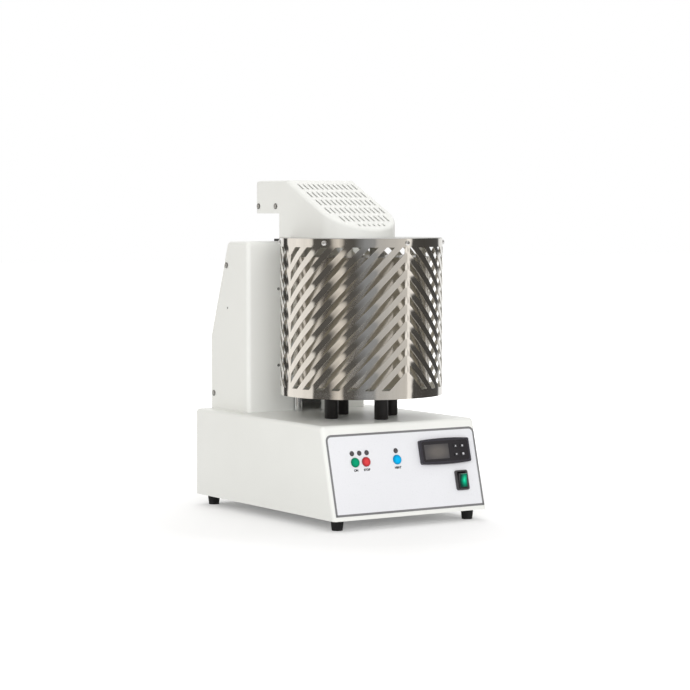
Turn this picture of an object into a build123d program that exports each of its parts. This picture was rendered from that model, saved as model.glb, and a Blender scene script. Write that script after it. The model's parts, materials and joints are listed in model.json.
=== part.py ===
from build123d import *
import os
from itertools import pairwise
from math import atan, ceil, cos, degrees, floor, hypot, pi, radians, sin, sqrt, tan

from build123d.topology import SkipClean

# A preheating furnace. A casing with a sloping control panel carries a column at the rear.
# The furnace head, with its heater, slotted guard and vented hood, rides up and down in front of it.
# Millimetres. X is to the right, Y to the rear and Z up.
# The origin is the centre of the footprint, on the ground.

# Base casing. Reaches are measured forwards or rearwards from the upright axis of the furnace head.
BASE_W = 222.6
BASE_H = 110.5
FRONT_REACH = 111.1
FRONT_LEAN = 28.5
SHEET = 1.5
BEND_R = 5.5
SEAM = 0.3
FLANGE_H = 12.0
OVERCUT = 1.0
THROUGH = 6.0

# Rubber feet
FOOT_H = 13.0
FOOT_TOP_D = 16.0
FOOT_TIP_D = 13.0
FOOT_INSET_SIDE = 16.3
FOOT_INSET_FRONT = 19.1
FOOT_INSET_REAR = 16.0
FOOT_RECESS_D = 8.0
FOOT_RECESS_H = 6.0

# Control panel. Distances down the slope are measured from the casing's upper front edge.
FOIL_MARGIN_SIDE = 3.1
FOIL_MARGIN_LOW = 5.0162
FOIL_TOP = 10.9
FOIL_T = 0.4
FOIL_TOP_R = 7.5
FOIL_BOTTOM_R = 1.0
CTRL_FROM_SIDE = 52.55
CTRL_DOWN = 39.5
CTRL_W = 72.9
CTRL_H = 29.0
CTRL_ARCH = 1.5
CTRL_T = 4.5
CTRL_CORNER_R = 2.0
CTRL_DEPTH = 58.0
CTRL_BODY_W = 68.0
CTRL_BODY_H = 25.0
WINDOW_X = -11.5
WINDOW_UP = -0.7
WINDOW_W = 39.5
WINDOW_H = 22.4
WINDOW_T = 1.0
WINDOW_POCKET = 1.2
KEY_X = 20.25
KEY_PITCH = 10.0
KEY_W = 5.4
KEY_H = 4.0
KEY_PROUD = 0.8
KEY_HOLE_DEPTH = 3.6
KEY_TRAVEL = 0.6
KEY_GAP = 0.2

SWITCH_FROM_SIDE = 32.0
SWITCH_DOWN = 76.4
SWITCH_W = 18.5
SWITCH_H = 24.5
SWITCH_T = 2.0
SWITCH_CORNER_R = 2.5
SWITCH_BODY_W = 16.5
SWITCH_BODY_H = 22.5
SWITCH_DEPTH = 22.0
ROCKER_W = 12.3
ROCKER_HALF = 8.9
ROCKER_TOP = 4.6
ROCKER_DIP = 3.2
ROCKER_BELOW = 4.0
ROCKER_PIVOT = -1.0
ROCKER_TILT = 10.0
ROCKER_PIN_D = 3.0
ROCKER_PIN_L = 1.2
ROCKER_POCKET_W = 12.9
ROCKER_POCKET_H = 20.6
ROCKER_POCKET_DEPTH = 12.0

BUTTON_DOWN = 45.6
GREEN_FROM_SIDE = 40.1
GREEN_TO_RED = 15.6
BLUE_TO_CTRL = 33.2
BUTTON_D = 11.4
BUTTON_PROUD = 1.8
BUTTON_FLANGE_D = 14.0
BUTTON_FLANGE_T = 1.4
BUTTON_GAP = 0.2
BUTTON_TRAVEL = 1.0
LED_FROM_GREEN = 2.9
LED_PITCH = 10.5
LED_FROM_BLUE = 0.2
LED_DOWN = 34.7
LED_D = 6.1
LED_PROUD = 0.9
LED_BEVEL = 0.5
BOARD_T = 1.6
BOARD_DEPTH = 8.0
STEM_D = 3.5
BOARD_PAST_GREEN = 12.8
BOARD_PAST_BLUE = 12.9
BOARD_ABOVE_LED = 7.7
BOARD_BELOW_BUTTON = 12.4
TACT_W = 6.0
TACT_H = 2.7
SPACER_D = 5.0
SPACER_INSET = 4.0

# Rear panel of the base
INLET_FROM_SIDE = 41.3
INLET_UP = 42.0
INLET_FLANGE_W = 31.0
INLET_FLANGE_H = 24.0
INLET_FLANGE_T = 2.0
INLET_BODY_W = 27.0
INLET_BODY_H = 20.0
INLET_DEPTH = 24.0
INLET_RECESS_W = 24.2
INLET_RECESS_H = 16.8
INLET_RECESS_DEPTH = 16.5
INLET_BEVEL = 4.5
PIN_W = 2.0
PIN_H = 4.0
PIN_L = 10.0
PIN_SPREAD = 7.0
PIN_DROP = 2.0
INLET_TO_FUSE = 40.0
FUSE_D = 14.0
FUSE_T = 5.0
FUSE_BODY_D = 12.0
FUSE_DEPTH = 30.0
FUSE_SLOT_L = 9.8
VENT_W = 3.0
VENT_L = 34.0
VENT_PITCH = 8.0
VENT_COUNT = 8
REAR_VENT_FROM_SIDE = 49.3

# Inside the base
RELAY_W = 45.0
RELAY_L = 58.0
RELAY_H = 28.0
RELAY_FROM_SIDE = 49.3
RELAY_FROM_REAR = 127.0
TERMINAL_D = 6.0
TERMINAL_DEPTH = 3.0
TERMINAL_W = 22.5
TERMINAL_L = 43.5
CONTROL_W = 76.0
CONTROL_L = 100.0
CONTROL_FROM_SIDE = 55.3
CONTROL_FROM_REAR = 147.0
CONTROL_SPACER_H = 8.0
TRAFO_W = 36.0
TRAFO_L = 42.0
TRAFO_H = 32.0
MOTOR_W = 42.3
MOTOR_H = 48.0
MOTOR_CORNER = 4.0
JOURNAL_D = 8.0
JOURNAL_L = 40.0

# Column
COLUMN_W = 177.5
COLUMN_DEPTH = 92.7
COLUMN_TOP_DEPTH = 48.7
COLUMN_BREAK_H = 92.5
COLUMN_FLANGE = 13.0
SLOT_GAP = 4.0
SLOT_TOP_GAP = 3.0
COVER_VENT_COUNT = 6
COVER_VENT_L = 60.0

# Furnace head: guard and heater, with heights above the casing's top
GUARD_R = 100.0
GUARD_T = 1.0
GUARD_GAP = 28.8
GUARD_H = 192.2
GUARD_FOOT_BAND = 10.5
GUARD_TOP_BAND = 10.2
SLOT_PITCH = 20.6
SLOT_OPEN = 10.3
SLOT_RISE = 1.0
SLOT_TOP_DROP_FRONT = 27.5
SPINE_FRONT = 2.0
SIDE_SEAM = 95.25
SPINE_SIDE = 2.75
SPINE_REAR = 15.0
GUARD_SCREW_STEP = 60.0
GUARD_TURN = 8.0

PLATE_T = 4.0
PLATE_ABOVE_GUARD = 0.5
RIM_H = 10.0
RIM_T = 4.0
PLATE_HOLE_R = 38.0

HEATER_GAP = 16.0
HEATER_T = 1.2
HEATER_UP = 39.5
HEATER_WALL = 24.0
HEATER_LID = 25.0
MUFFLE_T = 4.0
VENT_R = 12.0
SHELL_GAP = 0.2
HEATER_SPACER_INSET = 12.0
HEATER_SPACER_H = 19.0
HEATER_SPACER_D = 8.0
THERMO_D = 4.0
THERMO_REACH = 15.0
THERMO_X = 30.0

# Table that carries the work, on four posts
POST_D = 17.0
POST_INSET = 10.0
POST_CHAMFER = 1.0
TABLE_GAP = 6.0
TABLE_BORE_D = 6.0
TABLE_T = 3.0
TABLE_PAD_T = 20.0

# Hood and its arm
HOOD_R = 50.0
HOOD_FRONT_CENTRE = 15.5
HOOD_H = 71.0
HOOD_OVERHANG = 12.0
ARM_REAR_MARGIN = 4.4
ARM_UP = 29.5
HOOD_SLOPE_BACK = 18.3
HOOD_SLOPE = 25.5
HOOD_ROUND = 4.0
GRILLE_ROWS = 6
GRILLE_MARGIN = 6.0
GRILLE_PITCH = 7.25
GRILLE_ROW_PITCH = 22.95
GRILLE_SLOT_W = 2.8
GRILLE_SLOT_L = 16.2
GRILLE_LAST_L = 7.2
GRILLE_START = 10.5
ARM_FLOOR_T = 2.0
ARM_FLANGE_H = 15.0
ARM_SCREW_UP = 9.1
ARM_SCREW_FRONT = 8.7
ARM_SCREW_REAR = 6.9

# Lift: the mast slides through a bush in the column's roof, and the carriage on two guide rods
STROKE = 135.0
MAST_INSET = 25.7
MAST_D = 30.0
MAST_WALL = 4.0
MAST_ABOVE_ARM = 17.0
RUNNING_GAP = 0.05
SEAT_GAP = 0.1
CLAMP_WALL_SIDE = 13.0
CLAMP_WALL = 2.0
CLAMP_H = 26.0
BUSH_WALL = 2.0
BUSH_LUG = 9.0
BUSH_FLANGE_R = 4.0
BUSH_FLANGE_T = 3.0
BUSH_L = 16.0
SCREW_DRIVE_D = 12.0
NUT_FLANGE_WALL = 3.0
NUT_FLANGE_T = 5.0
NUT_L = 18.0
ROD_D = 10.0
ROD_X = 22.5
ROD_STANDOFF = 13.3
ROD_TOP_GAP = 5.0
ROD_TOP_DROP = 11.5
ROD_FOOT_L = 10.0
ROD_BRACKET_W = 72.0
ROD_BRACKET_H = 10.0
ROD_BRACKET_WALL = 1.6
ROOF_GAP = 6.0
CARRIAGE_W = 68.0
CARRIAGE_H = 20.0
CARRIAGE_FRONT_WALL = 1.1
CARRIAGE_WALL = 1.5
CARRIAGE_NECK_W = 34.0
CARRIAGE_RING_WALL = 7.0
GUIDE_BUSH_WALL = 2.0
BACK_PLATE_W = 60.0
BACK_PLATE_T = 2.5
BACK_PLATE_GAP = 0.4

# Small screws
SCREW_D = 3.0
SCREW_L = 6.0
SCREW_HEAD_D = 6.0
SCREW_HEAD_H = 1.6
SCREW_HOLE_D = 3.4
COLUMN_SCREW_INSET = 6.0
COLUMN_SCREW_LOW = 19.3
COLUMN_SCREW_DROP = 30.6
FRONT_SCREW_X = 44.0
FRONT_SCREW_LOW = 58.5
FRONT_SCREW_DROP = 60.0
FOOT_SCREW_D = 4.0
FOOT_SCREW_HEAD_D = 7.0
FOOT_SCREW_HEAD_H = 2.5

# Sizes that follow from these
FOIL_W = BASE_W - 2 * FOIL_MARGIN_SIDE
FOIL_BOTTOM = hypot(BASE_H, FRONT_LEAN) - FOIL_MARGIN_LOW
HEATER_R = GUARD_R - HEATER_GAP
CHAMBER_R = HEATER_R - HEATER_WALL
TABLE_R = CHAMBER_R - TABLE_GAP
POST_RING_R = TABLE_R - POST_INSET
SPACER_RING_R = HEATER_R - HEATER_SPACER_INSET
GUIDE_BUSH_D = ROD_D + 2 * GUIDE_BUSH_WALL
ROD_H = GUARD_GAP + GUARD_H - ROD_TOP_DROP
CARRIAGE_UP = ROD_H - ROD_BRACKET_H - ROD_TOP_GAP - CARRIAGE_H - STROKE
COLUMN_H = ROD_H + ROOF_GAP
MAST_BORE = MAST_D - 2 * MAST_WALL
BUSH_D = MAST_D + 2 * BUSH_WALL
SLOT_W = CARRIAGE_NECK_W + 2 * SLOT_GAP

# Reaches to the rear of the head's axis that follow from these
BACK_PLATE_REACH = GUARD_R + BACK_PLATE_GAP
HOOD_REAR = GUARD_R + HOOD_OVERHANG
ROD_BACK = BACK_PLATE_REACH + BACK_PLATE_T + CARRIAGE_FRONT_WALL + GUIDE_BUSH_D / 2
CARRIAGE_REAR = ROD_BACK + GUIDE_BUSH_D / 2 + CARRIAGE_WALL
ROD_BRACKET_FRONT = ROD_BACK - ROD_D / 2 - ROD_BRACKET_WALL
COLUMN_FRONT = ROD_BACK + ROD_STANDOFF
MAST_BACK = COLUMN_FRONT + MAST_INSET
ARM_REAR = MAST_BACK + MAST_D / 2 + ARM_REAR_MARGIN
COLUMN_TOP_REACH = COLUMN_FRONT + COLUMN_TOP_DEPTH
REAR_REACH = COLUMN_FRONT + COLUMN_DEPTH

# Places that follow from these
AXIS_Y = (FRONT_REACH - REAR_REACH - FUSE_T) / 2
FRONT_Y = AXIS_Y - FRONT_REACH
REAR_Y = AXIS_Y + REAR_REACH
FLOOR_Z = FOOT_H
TOP_Z = FOOT_H + BASE_H
LEAN = degrees(atan(FRONT_LEAN / BASE_H))
COLUMN_Y = AXIS_Y + COLUMN_FRONT
COLUMN_TOP_Z = TOP_Z + COLUMN_H
COLUMN_LEAN = degrees(atan((REAR_REACH - COLUMN_TOP_REACH) / (COLUMN_H - COLUMN_BREAK_H)))
GUARD_Z = TOP_Z + GUARD_GAP
GUARD_TOP_Z = GUARD_Z + GUARD_H
PLATE_TOP_Z = GUARD_TOP_Z + PLATE_ABOVE_GUARD
HEATER_Z = TOP_Z + HEATER_UP
HEATER_TOP_Z = PLATE_TOP_Z - PLATE_T - HEATER_SPACER_H
CHAMBER_TOP_Z = HEATER_TOP_Z - HEATER_LID
HOOD_TOP_Z = PLATE_TOP_Z + HOOD_H
ARM_Z = PLATE_TOP_Z + ARM_UP
MAST_TOP_Z = ARM_Z + MAST_ABOVE_ARM
MAST_Y = AXIS_Y + MAST_BACK
ROD_Y = AXIS_Y + ROD_BACK
CTRL_X = BASE_W / 2 - CTRL_FROM_SIDE
SWITCH_X = BASE_W / 2 - SWITCH_FROM_SIDE
GREEN_X = GREEN_FROM_SIDE - BASE_W / 2
RED_X = GREEN_X + GREEN_TO_RED
BLUE_X = CTRL_X - CTRL_W / 2 - BLUE_TO_CTRL
LED_XS = [GREEN_X - LED_FROM_GREEN + LED_PITCH * step for step in range(3)] + [BLUE_X - LED_FROM_BLUE]
BOARD_LEFT = GREEN_X - BOARD_PAST_GREEN
BOARD_RIGHT = BLUE_X + BOARD_PAST_BLUE
BOARD_TOP = LED_DOWN - BOARD_ABOVE_LED
BOARD_BOTTOM = BUTTON_DOWN + BOARD_BELOW_BUTTON
INLET_X = INLET_FROM_SIDE - BASE_W / 2
FUSE_X = INLET_X + INLET_TO_FUSE
REAR_VENT_X = BASE_W / 2 - REAR_VENT_FROM_SIDE
RELAY_X = RELAY_FROM_SIDE - BASE_W / 2
RELAY_Y = REAR_Y - RELAY_FROM_REAR
CONTROL_X = BASE_W / 2 - CONTROL_FROM_SIDE
CONTROL_Y = REAR_Y - CONTROL_FROM_REAR

LOW = (Align.CENTER, Align.CENTER, Align.MIN)
HIGH = (Align.CENTER, Align.CENTER, Align.MAX)
PANEL = Plane(
    origin=(0, FRONT_Y + FRONT_LEAN, TOP_Z),
    x_dir=(1, 0, 0),
    z_dir=(0, -cos(radians(LEAN)), sin(radians(LEAN))),
)

os.makedirs("parts", exist_ok=True)


def save(body, name):
    """Labels a finished piece and writes it to its own file."""
    body.part.label = name
    export_step(body.part, f"parts/{name}.step")


def on_axis(height):
    """A level plane centred on the furnace head's axis."""
    return Plane.XY.offset(height).shift_origin((0, AXIS_Y, height))


def on_panel(x, down, out=0.0):
    """A plane on the sloping control panel, facing outwards."""
    return Plane(PANEL.offset(out).from_local_coords((x, -down, 0)), x_dir=PANEL.x_dir, z_dir=PANEL.z_dir)


def front_y(height, inset):
    """Where the sloping front stands at a height, drawn in by inset."""
    return FRONT_Y + (height - FLOOR_Z) * tan(radians(LEAN)) + inset / cos(radians(LEAN))


def facing(x, y, z, out):
    """A plane at a point, facing a direction."""
    return Plane(origin=(x, y, z), z_dir=out)


def polar(radius, angle, height):
    """A plane on the guard at an angle from the front, facing away from the axis."""
    out = (sin(radians(angle)), -cos(radians(angle)), 0)
    return facing(radius * out[0], AXIS_Y + radius * out[1], height, out)


def screws(places, name):
    """Pan head screws with their heads on the given planes."""
    with BuildPart() as group:
        with Locations(*places):
            Cylinder(SCREW_HEAD_D / 2, SCREW_HEAD_H, align=LOW)
            Cylinder(SCREW_D / 2, SCREW_L, align=HIGH)
    save(group, name)


def tube(base, outer_r, inner_r, height):
    """A plain upright tube that stands on a plane."""
    with BuildPart() as body:
        with BuildSketch(base):
            Circle(outer_r)
            Circle(inner_r, mode=Mode.SUBTRACT)
        extrude(amount=height)
    return body


# Where the small screws sit
guard_places = [
    polar(GUARD_R, GUARD_SCREW_STEP * turn, GUARD_TOP_Z - GUARD_TOP_BAND / 2) for turn in range(-2, 3)
]


def column_rear(height):
    """How far back the column's rear face stands at a height above the casing."""
    over = max(0.0, height - COLUMN_BREAK_H)
    return REAR_Y - over * tan(radians(COLUMN_LEAN))


column_side_places = [
    facing(side * COLUMN_W / 2, column_rear(height) - COLUMN_SCREW_INSET, TOP_Z + height, (side, 0, 0))
    for side in (-1, 1)
    for height in (COLUMN_SCREW_LOW, COLUMN_H - COLUMN_SCREW_DROP)
]
column_front_places = [
    facing(side * FRONT_SCREW_X, COLUMN_Y, TOP_Z + height, (0, -1, 0))
    for side in (-1, 1)
    for height in (FRONT_SCREW_LOW, COLUMN_H - FRONT_SCREW_DROP)
]
rear_panel_places = [
    facing(x, REAR_Y, FLOOR_Z + SHEET + FLANGE_H / 2, (0, 1, 0)) for x in (-BASE_W / 3, 0, BASE_W / 3)
]
arm_places = [
    facing(side * HOOD_R, AXIS_Y + back, ARM_Z + ARM_SCREW_UP, (side, 0, 0))
    for side in (-1, 1)
    for back in (HOOD_REAR + ARM_SCREW_FRONT, ARM_REAR - ARM_SCREW_REAR)
]
foot_places = [
    (side * (BASE_W / 2 - FOOT_INSET_SIDE), y)
    for side in (-1, 1)
    for y in (FRONT_Y + FOOT_INSET_FRONT, REAR_Y - FOOT_INSET_REAR)
]
post_places = {
    "front": (0, AXIS_Y - POST_RING_R),
    "rear": (0, AXIS_Y + POST_RING_R),
    "left": (-POST_RING_R, AXIS_Y),
    "right": (POST_RING_R, AXIS_Y),
}
board_corners = [
    (x, down)
    for x in (BOARD_LEFT + SPACER_INSET, BOARD_RIGHT - SPACER_INSET)
    for down in (BOARD_TOP + SPACER_INSET, BOARD_BOTTOM - SPACER_INSET)
]
buttons = {"green": GREEN_X, "red": RED_X, "blue": BLUE_X}


# Base casing
def wedge(inset, bend, below, behind):
    """The base casing's form, drawn in at the front, top and sides."""
    top = TOP_Z - inset
    bottom = FLOOR_Z - below
    rear = REAR_Y + behind
    half = BASE_W / 2 - inset
    with BuildPart() as body:
        with BuildSketch(Plane.YZ.offset(-half)):
            with BuildLine():
                Polyline(
                    (front_y(bottom, inset), bottom),
                    (front_y(top, inset), top),
                    (rear, top),
                    (rear, bottom),
                    close=True,
                )
            make_face()
        extrude(amount=2 * half)
        roof = body.faces().sort_by(Axis.Z)[-1]
        slope = body.faces().sort_by(Axis.Y)[0]
        bends = roof.edges().filter_by(Axis.Y) + roof.edges().filter_by(Axis.X).sort_by(Axis.Y)[:1]
        bends += slope.edges().filter_by(Axis.X, reverse=True)
        fillet(bends, bend)
    return body.part


base_hollow = wedge(SHEET, BEND_R - SHEET, below=OVERCUT, behind=OVERCUT)
base_outer = wedge(0.0, BEND_R, below=0.0, behind=0.0)

with BuildPart() as base_shell:
    add(base_outer)
    add(base_hollow, mode=Mode.SUBTRACT)
    with Locations(on_panel(CTRL_X, CTRL_DOWN)):
        Box(CTRL_BODY_W + 2 * SEAM, CTRL_BODY_H + 2 * SEAM, THROUGH, mode=Mode.SUBTRACT)
    with Locations(on_panel(SWITCH_X, SWITCH_DOWN)):
        Box(SWITCH_BODY_W + 2 * SEAM, SWITCH_BODY_H + 2 * SEAM, THROUGH, mode=Mode.SUBTRACT)
    with Locations(*[on_panel(x, BUTTON_DOWN) for x in buttons.values()]):
        Cylinder(BUTTON_D / 2 + BUTTON_GAP, THROUGH, mode=Mode.SUBTRACT)
    with Locations(*[on_panel(x, LED_DOWN) for x in LED_XS]):
        Cylinder(LED_D / 2 + SEAT_GAP, THROUGH, mode=Mode.SUBTRACT)
    with Locations(*[(x, ROD_Y, TOP_Z) for x in (-ROD_X, ROD_X)]):
        Cylinder(ROD_D / 2 + SEAT_GAP, THROUGH, mode=Mode.SUBTRACT)
    with Locations((0, MAST_Y, TOP_Z)):
        Cylinder(SCREW_DRIVE_D / 2 + OVERCUT, THROUGH, mode=Mode.SUBTRACT)
save(base_shell, "base_shell")

floor_front = front_y(FLOOR_Z + SHEET + FLANGE_H, SHEET) + SEAM
floor_rear = REAR_Y - SHEET
floor_half = BASE_W / 2 - SHEET - SEAM
with BuildPart() as base_floor:
    with BuildSketch(Plane.XY.offset(FLOOR_Z)):
        with Locations((0, (floor_front + floor_rear) / 2)):
            Rectangle(2 * floor_half, floor_rear - floor_front)
    extrude(amount=SHEET + FLANGE_H)
    fillet(base_floor.edges().filter_by(Axis.Z).group_by(Axis.Y)[0], BEND_R)
    with BuildSketch(Plane.XY.offset(FLOOR_Z + SHEET)):
        with Locations((0, (floor_front + floor_rear) / 2 - SHEET)):
            Rectangle(2 * floor_half - 2 * SHEET, floor_rear - floor_front)
    extrude(amount=FLANGE_H, mode=Mode.SUBTRACT)
    with BuildSketch(Plane.XY.offset(FLOOR_Z)):
        with Locations(*foot_places):
            Circle(FOOT_SCREW_D / 2 + SEAT_GAP)
        with Locations((0, AXIS_Y)):
            with GridLocations(VENT_PITCH, VENT_L + VENT_PITCH, VENT_COUNT, 2):
                Rectangle(VENT_W, VENT_L)
    extrude(amount=SHEET, mode=Mode.SUBTRACT)
    with Locations(*rear_panel_places):
        Cylinder(SCREW_HOLE_D / 2, THROUGH, mode=Mode.SUBTRACT)
save(base_floor, "base_floor")

panel_low = FLOOR_Z + SEAM
panel_high = TOP_Z - SHEET - SEAM
rear_plane = Plane(origin=(0, REAR_Y, FLOOR_Z), x_dir=(-1, 0, 0), z_dir=(0, 1, 0))
with BuildPart() as rear_panel:
    with BuildSketch(rear_plane) as rear_outline:
        with Locations((0, (panel_low + panel_high) / 2 - FLOOR_Z)):
            Rectangle(BASE_W - 2 * SHEET - 2 * SEAM, panel_high - panel_low)
        fillet(rear_outline.vertices().group_by(Axis.Y)[-1], BEND_R)
        with Locations((-INLET_X, INLET_UP)):
            Rectangle(INLET_BODY_W + 2 * SEAM, INLET_BODY_H + 2 * SEAM, mode=Mode.SUBTRACT)
        with Locations((-FUSE_X, INLET_UP)):
            Circle(FUSE_BODY_D / 2 + SEAT_GAP, mode=Mode.SUBTRACT)
        with Locations((-REAR_VENT_X, INLET_UP)):
            with GridLocations(VENT_PITCH, 0, VENT_COUNT, 1):
                Rectangle(VENT_W, VENT_L, mode=Mode.SUBTRACT)
    extrude(amount=-SHEET)
    with Locations(*rear_panel_places):
        Cylinder(SCREW_HOLE_D / 2, THROUGH, mode=Mode.SUBTRACT)
save(rear_panel, "rear_panel")

foil_mid = (FOIL_TOP + FOIL_BOTTOM) / 2
with BuildPart() as front_foil:
    with BuildSketch(on_panel(0, foil_mid)) as foil_outline:
        Rectangle(FOIL_W, FOIL_BOTTOM - FOIL_TOP)
        fillet(foil_outline.vertices().group_by(Axis.Y)[-1], FOIL_TOP_R)
        fillet(foil_outline.vertices().group_by(Axis.Y)[0], FOIL_BOTTOM_R)
    extrude(amount=FOIL_T)
    with Locations(on_panel(CTRL_X, CTRL_DOWN)):
        Box(CTRL_BODY_W + 2 * SEAM, CTRL_BODY_H + 2 * SEAM, THROUGH, mode=Mode.SUBTRACT)
    with Locations(on_panel(SWITCH_X, SWITCH_DOWN)):
        Box(SWITCH_BODY_W + 2 * SEAM, SWITCH_BODY_H + 2 * SEAM, THROUGH, mode=Mode.SUBTRACT)
    with Locations(*[on_panel(x, BUTTON_DOWN) for x in buttons.values()]):
        Cylinder(BUTTON_D / 2 + BUTTON_GAP, THROUGH, mode=Mode.SUBTRACT)
    with Locations(*[on_panel(x, LED_DOWN) for x in LED_XS]):
        Cylinder(LED_D / 2 + SEAT_GAP, THROUGH, mode=Mode.SUBTRACT)
save(front_foil, "front_foil")

# Feet, tapered, with a recess for the screw
with BuildPart() as feet:
    with Locations(*[(x, y, 0) for x, y in foot_places]):
        Cone(FOOT_TIP_D / 2, FOOT_TOP_D / 2, FOOT_H, align=LOW)
        Cylinder(FOOT_RECESS_D / 2, FOOT_RECESS_H, align=LOW, mode=Mode.SUBTRACT)
        Cylinder(FOOT_SCREW_D / 2 + SEAT_GAP, FOOT_H, align=LOW, mode=Mode.SUBTRACT)
save(feet, "feet")

with BuildPart() as foot_screws:
    with Locations(*[(x, y, FOOT_RECESS_H) for x, y in foot_places]):
        Cylinder(FOOT_SCREW_HEAD_D / 2, FOOT_SCREW_HEAD_H, align=HIGH)
        Cylinder(FOOT_SCREW_D / 2, FOOT_H - FOOT_RECESS_H + 2 * SHEET, align=LOW)
save(foot_screws, "foot_screws")

# Temperature controller
face_out = FOIL_T + CTRL_T
key_rows = [CTRL_DOWN + step * KEY_PITCH / 2 for step in (-1, 1)]
key_columns = [CTRL_X + KEY_X + step * KEY_PITCH / 2 for step in (-1, 1)]
with BuildPart() as controller_case:
    with BuildSketch(on_panel(CTRL_X, CTRL_DOWN, FOIL_T)) as bezel:
        with BuildLine():
            top_edge = ThreePointArc(
                (-CTRL_W / 2, CTRL_H / 2), (0, CTRL_H / 2 + CTRL_ARCH), (CTRL_W / 2, CTRL_H / 2)
            )
            low_edge = ThreePointArc(
                (-CTRL_W / 2, -CTRL_H / 2), (0, -CTRL_H / 2 - CTRL_ARCH), (CTRL_W / 2, -CTRL_H / 2)
            )
            Line(top_edge @ 0, low_edge @ 0)
            Line(top_edge @ 1, low_edge @ 1)
        make_face()
        fillet(bezel.vertices(), CTRL_CORNER_R)
    extrude(amount=CTRL_T)
    with BuildSketch(on_panel(CTRL_X, CTRL_DOWN, FOIL_T)):
        Rectangle(CTRL_BODY_W, CTRL_BODY_H)
    extrude(amount=-CTRL_DEPTH)
    with BuildSketch(on_panel(CTRL_X + WINDOW_X, CTRL_DOWN - WINDOW_UP, face_out)):
        Rectangle(WINDOW_W, WINDOW_H)
    extrude(amount=-WINDOW_POCKET, mode=Mode.SUBTRACT)
    with Locations(*[on_panel(x, down, face_out) for x in key_columns for down in key_rows]):
        Box(KEY_W + 2 * KEY_GAP, KEY_H + 2 * KEY_GAP, KEY_HOLE_DEPTH, align=HIGH, mode=Mode.SUBTRACT)
save(controller_case, "controller_case")

with BuildPart() as controller_window:
    with BuildSketch(on_panel(CTRL_X + WINDOW_X, CTRL_DOWN - WINDOW_UP, face_out - WINDOW_POCKET)):
        Rectangle(WINDOW_W - 2 * SEAT_GAP, WINDOW_H - 2 * SEAT_GAP)
    extrude(amount=WINDOW_T)
save(controller_window, "controller_window")

key_body = KEY_HOLE_DEPTH - KEY_TRAVEL - KEY_GAP
for number, (x, down) in enumerate([(x, down) for down in key_rows for x in key_columns], start=1):
    with BuildPart() as key:
        with BuildSketch(on_panel(x, down, face_out - key_body)):
            Rectangle(KEY_W, KEY_H)
        extrude(amount=key_body + KEY_PROUD)
    save(key, f"controller_key_{number}")

# Rocker switch
with BuildPart() as switch_frame:
    with BuildSketch(on_panel(SWITCH_X, SWITCH_DOWN, FOIL_T)):
        RectangleRounded(SWITCH_W, SWITCH_H, SWITCH_CORNER_R)
    extrude(amount=SWITCH_T)
    with BuildSketch(on_panel(SWITCH_X, SWITCH_DOWN, FOIL_T)):
        Rectangle(SWITCH_BODY_W, SWITCH_BODY_H)
    extrude(amount=-SWITCH_DEPTH)
    with BuildSketch(on_panel(SWITCH_X, SWITCH_DOWN, FOIL_T + SWITCH_T)):
        Rectangle(ROCKER_POCKET_W, ROCKER_POCKET_H)
    extrude(amount=-ROCKER_POCKET_DEPTH, mode=Mode.SUBTRACT)
    with Locations(on_panel(SWITCH_X, SWITCH_DOWN, ROCKER_PIVOT)):
        Cylinder(
            ROCKER_PIN_D / 2 + RUNNING_GAP,
            ROCKER_W + 2 * ROCKER_PIN_L + 2 * SEAT_GAP,
            rotation=(0, 90, 0),
            mode=Mode.SUBTRACT,
        )
save(switch_frame, "switch_frame")

pivot = on_panel(SWITCH_X - ROCKER_W / 2, SWITCH_DOWN, ROCKER_PIVOT)
rocker_up = pivot.y_dir * cos(radians(ROCKER_TILT)) + pivot.z_dir * sin(radians(ROCKER_TILT))
rocker_side = Plane(origin=pivot.origin, x_dir=rocker_up, z_dir=pivot.x_dir)
with BuildPart() as switch_rocker:
    with BuildSketch(rocker_side):
        with BuildLine():
            Polyline(
                (-ROCKER_HALF, ROCKER_TOP - ROCKER_PIVOT),
                (0, ROCKER_DIP - ROCKER_PIVOT),
                (ROCKER_HALF, ROCKER_TOP - ROCKER_PIVOT),
                (ROCKER_HALF, 0),
                (ROCKER_HALF / 2, -ROCKER_BELOW),
                (-ROCKER_HALF / 2, -ROCKER_BELOW),
                (-ROCKER_HALF, 0),
                close=True,
            )
        make_face()
    extrude(amount=ROCKER_W)
    with BuildSketch(rocker_side.offset(-ROCKER_PIN_L)):
        Circle(ROCKER_PIN_D / 2)
    extrude(amount=ROCKER_W + 2 * ROCKER_PIN_L)
save(switch_rocker, "switch_rocker")

# Push buttons. A flange behind the panel keeps each cap in, and a stem reaches back to its switch.
stem_foot = TACT_H + BUTTON_TRAVEL + BUTTON_GAP - BOARD_DEPTH
for colour, x in buttons.items():
    with BuildPart() as button:
        with Locations(on_panel(x, BUTTON_DOWN, -SHEET - SEAM)):
            Cylinder(BUTTON_FLANGE_D / 2, BUTTON_FLANGE_T, align=HIGH)
        with BuildSketch(on_panel(x, BUTTON_DOWN, -SHEET - SEAM - BUTTON_FLANGE_T)):
            Circle(BUTTON_D / 2)
        extrude(amount=BUTTON_FLANGE_T + SEAM + SHEET + FOIL_T + BUTTON_PROUD)
        with Locations(on_panel(x, BUTTON_DOWN, stem_foot)):
            Cylinder(STEM_D / 2, -SHEET - stem_foot, align=LOW)
        rim = button.edges().filter_by(GeomType.CIRCLE).sort_by(Axis(PANEL.origin, PANEL.z_dir))[-1]
        chamfer(rim, BUTTON_PROUD / 3)
    save(button, f"button_{colour}")

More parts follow.
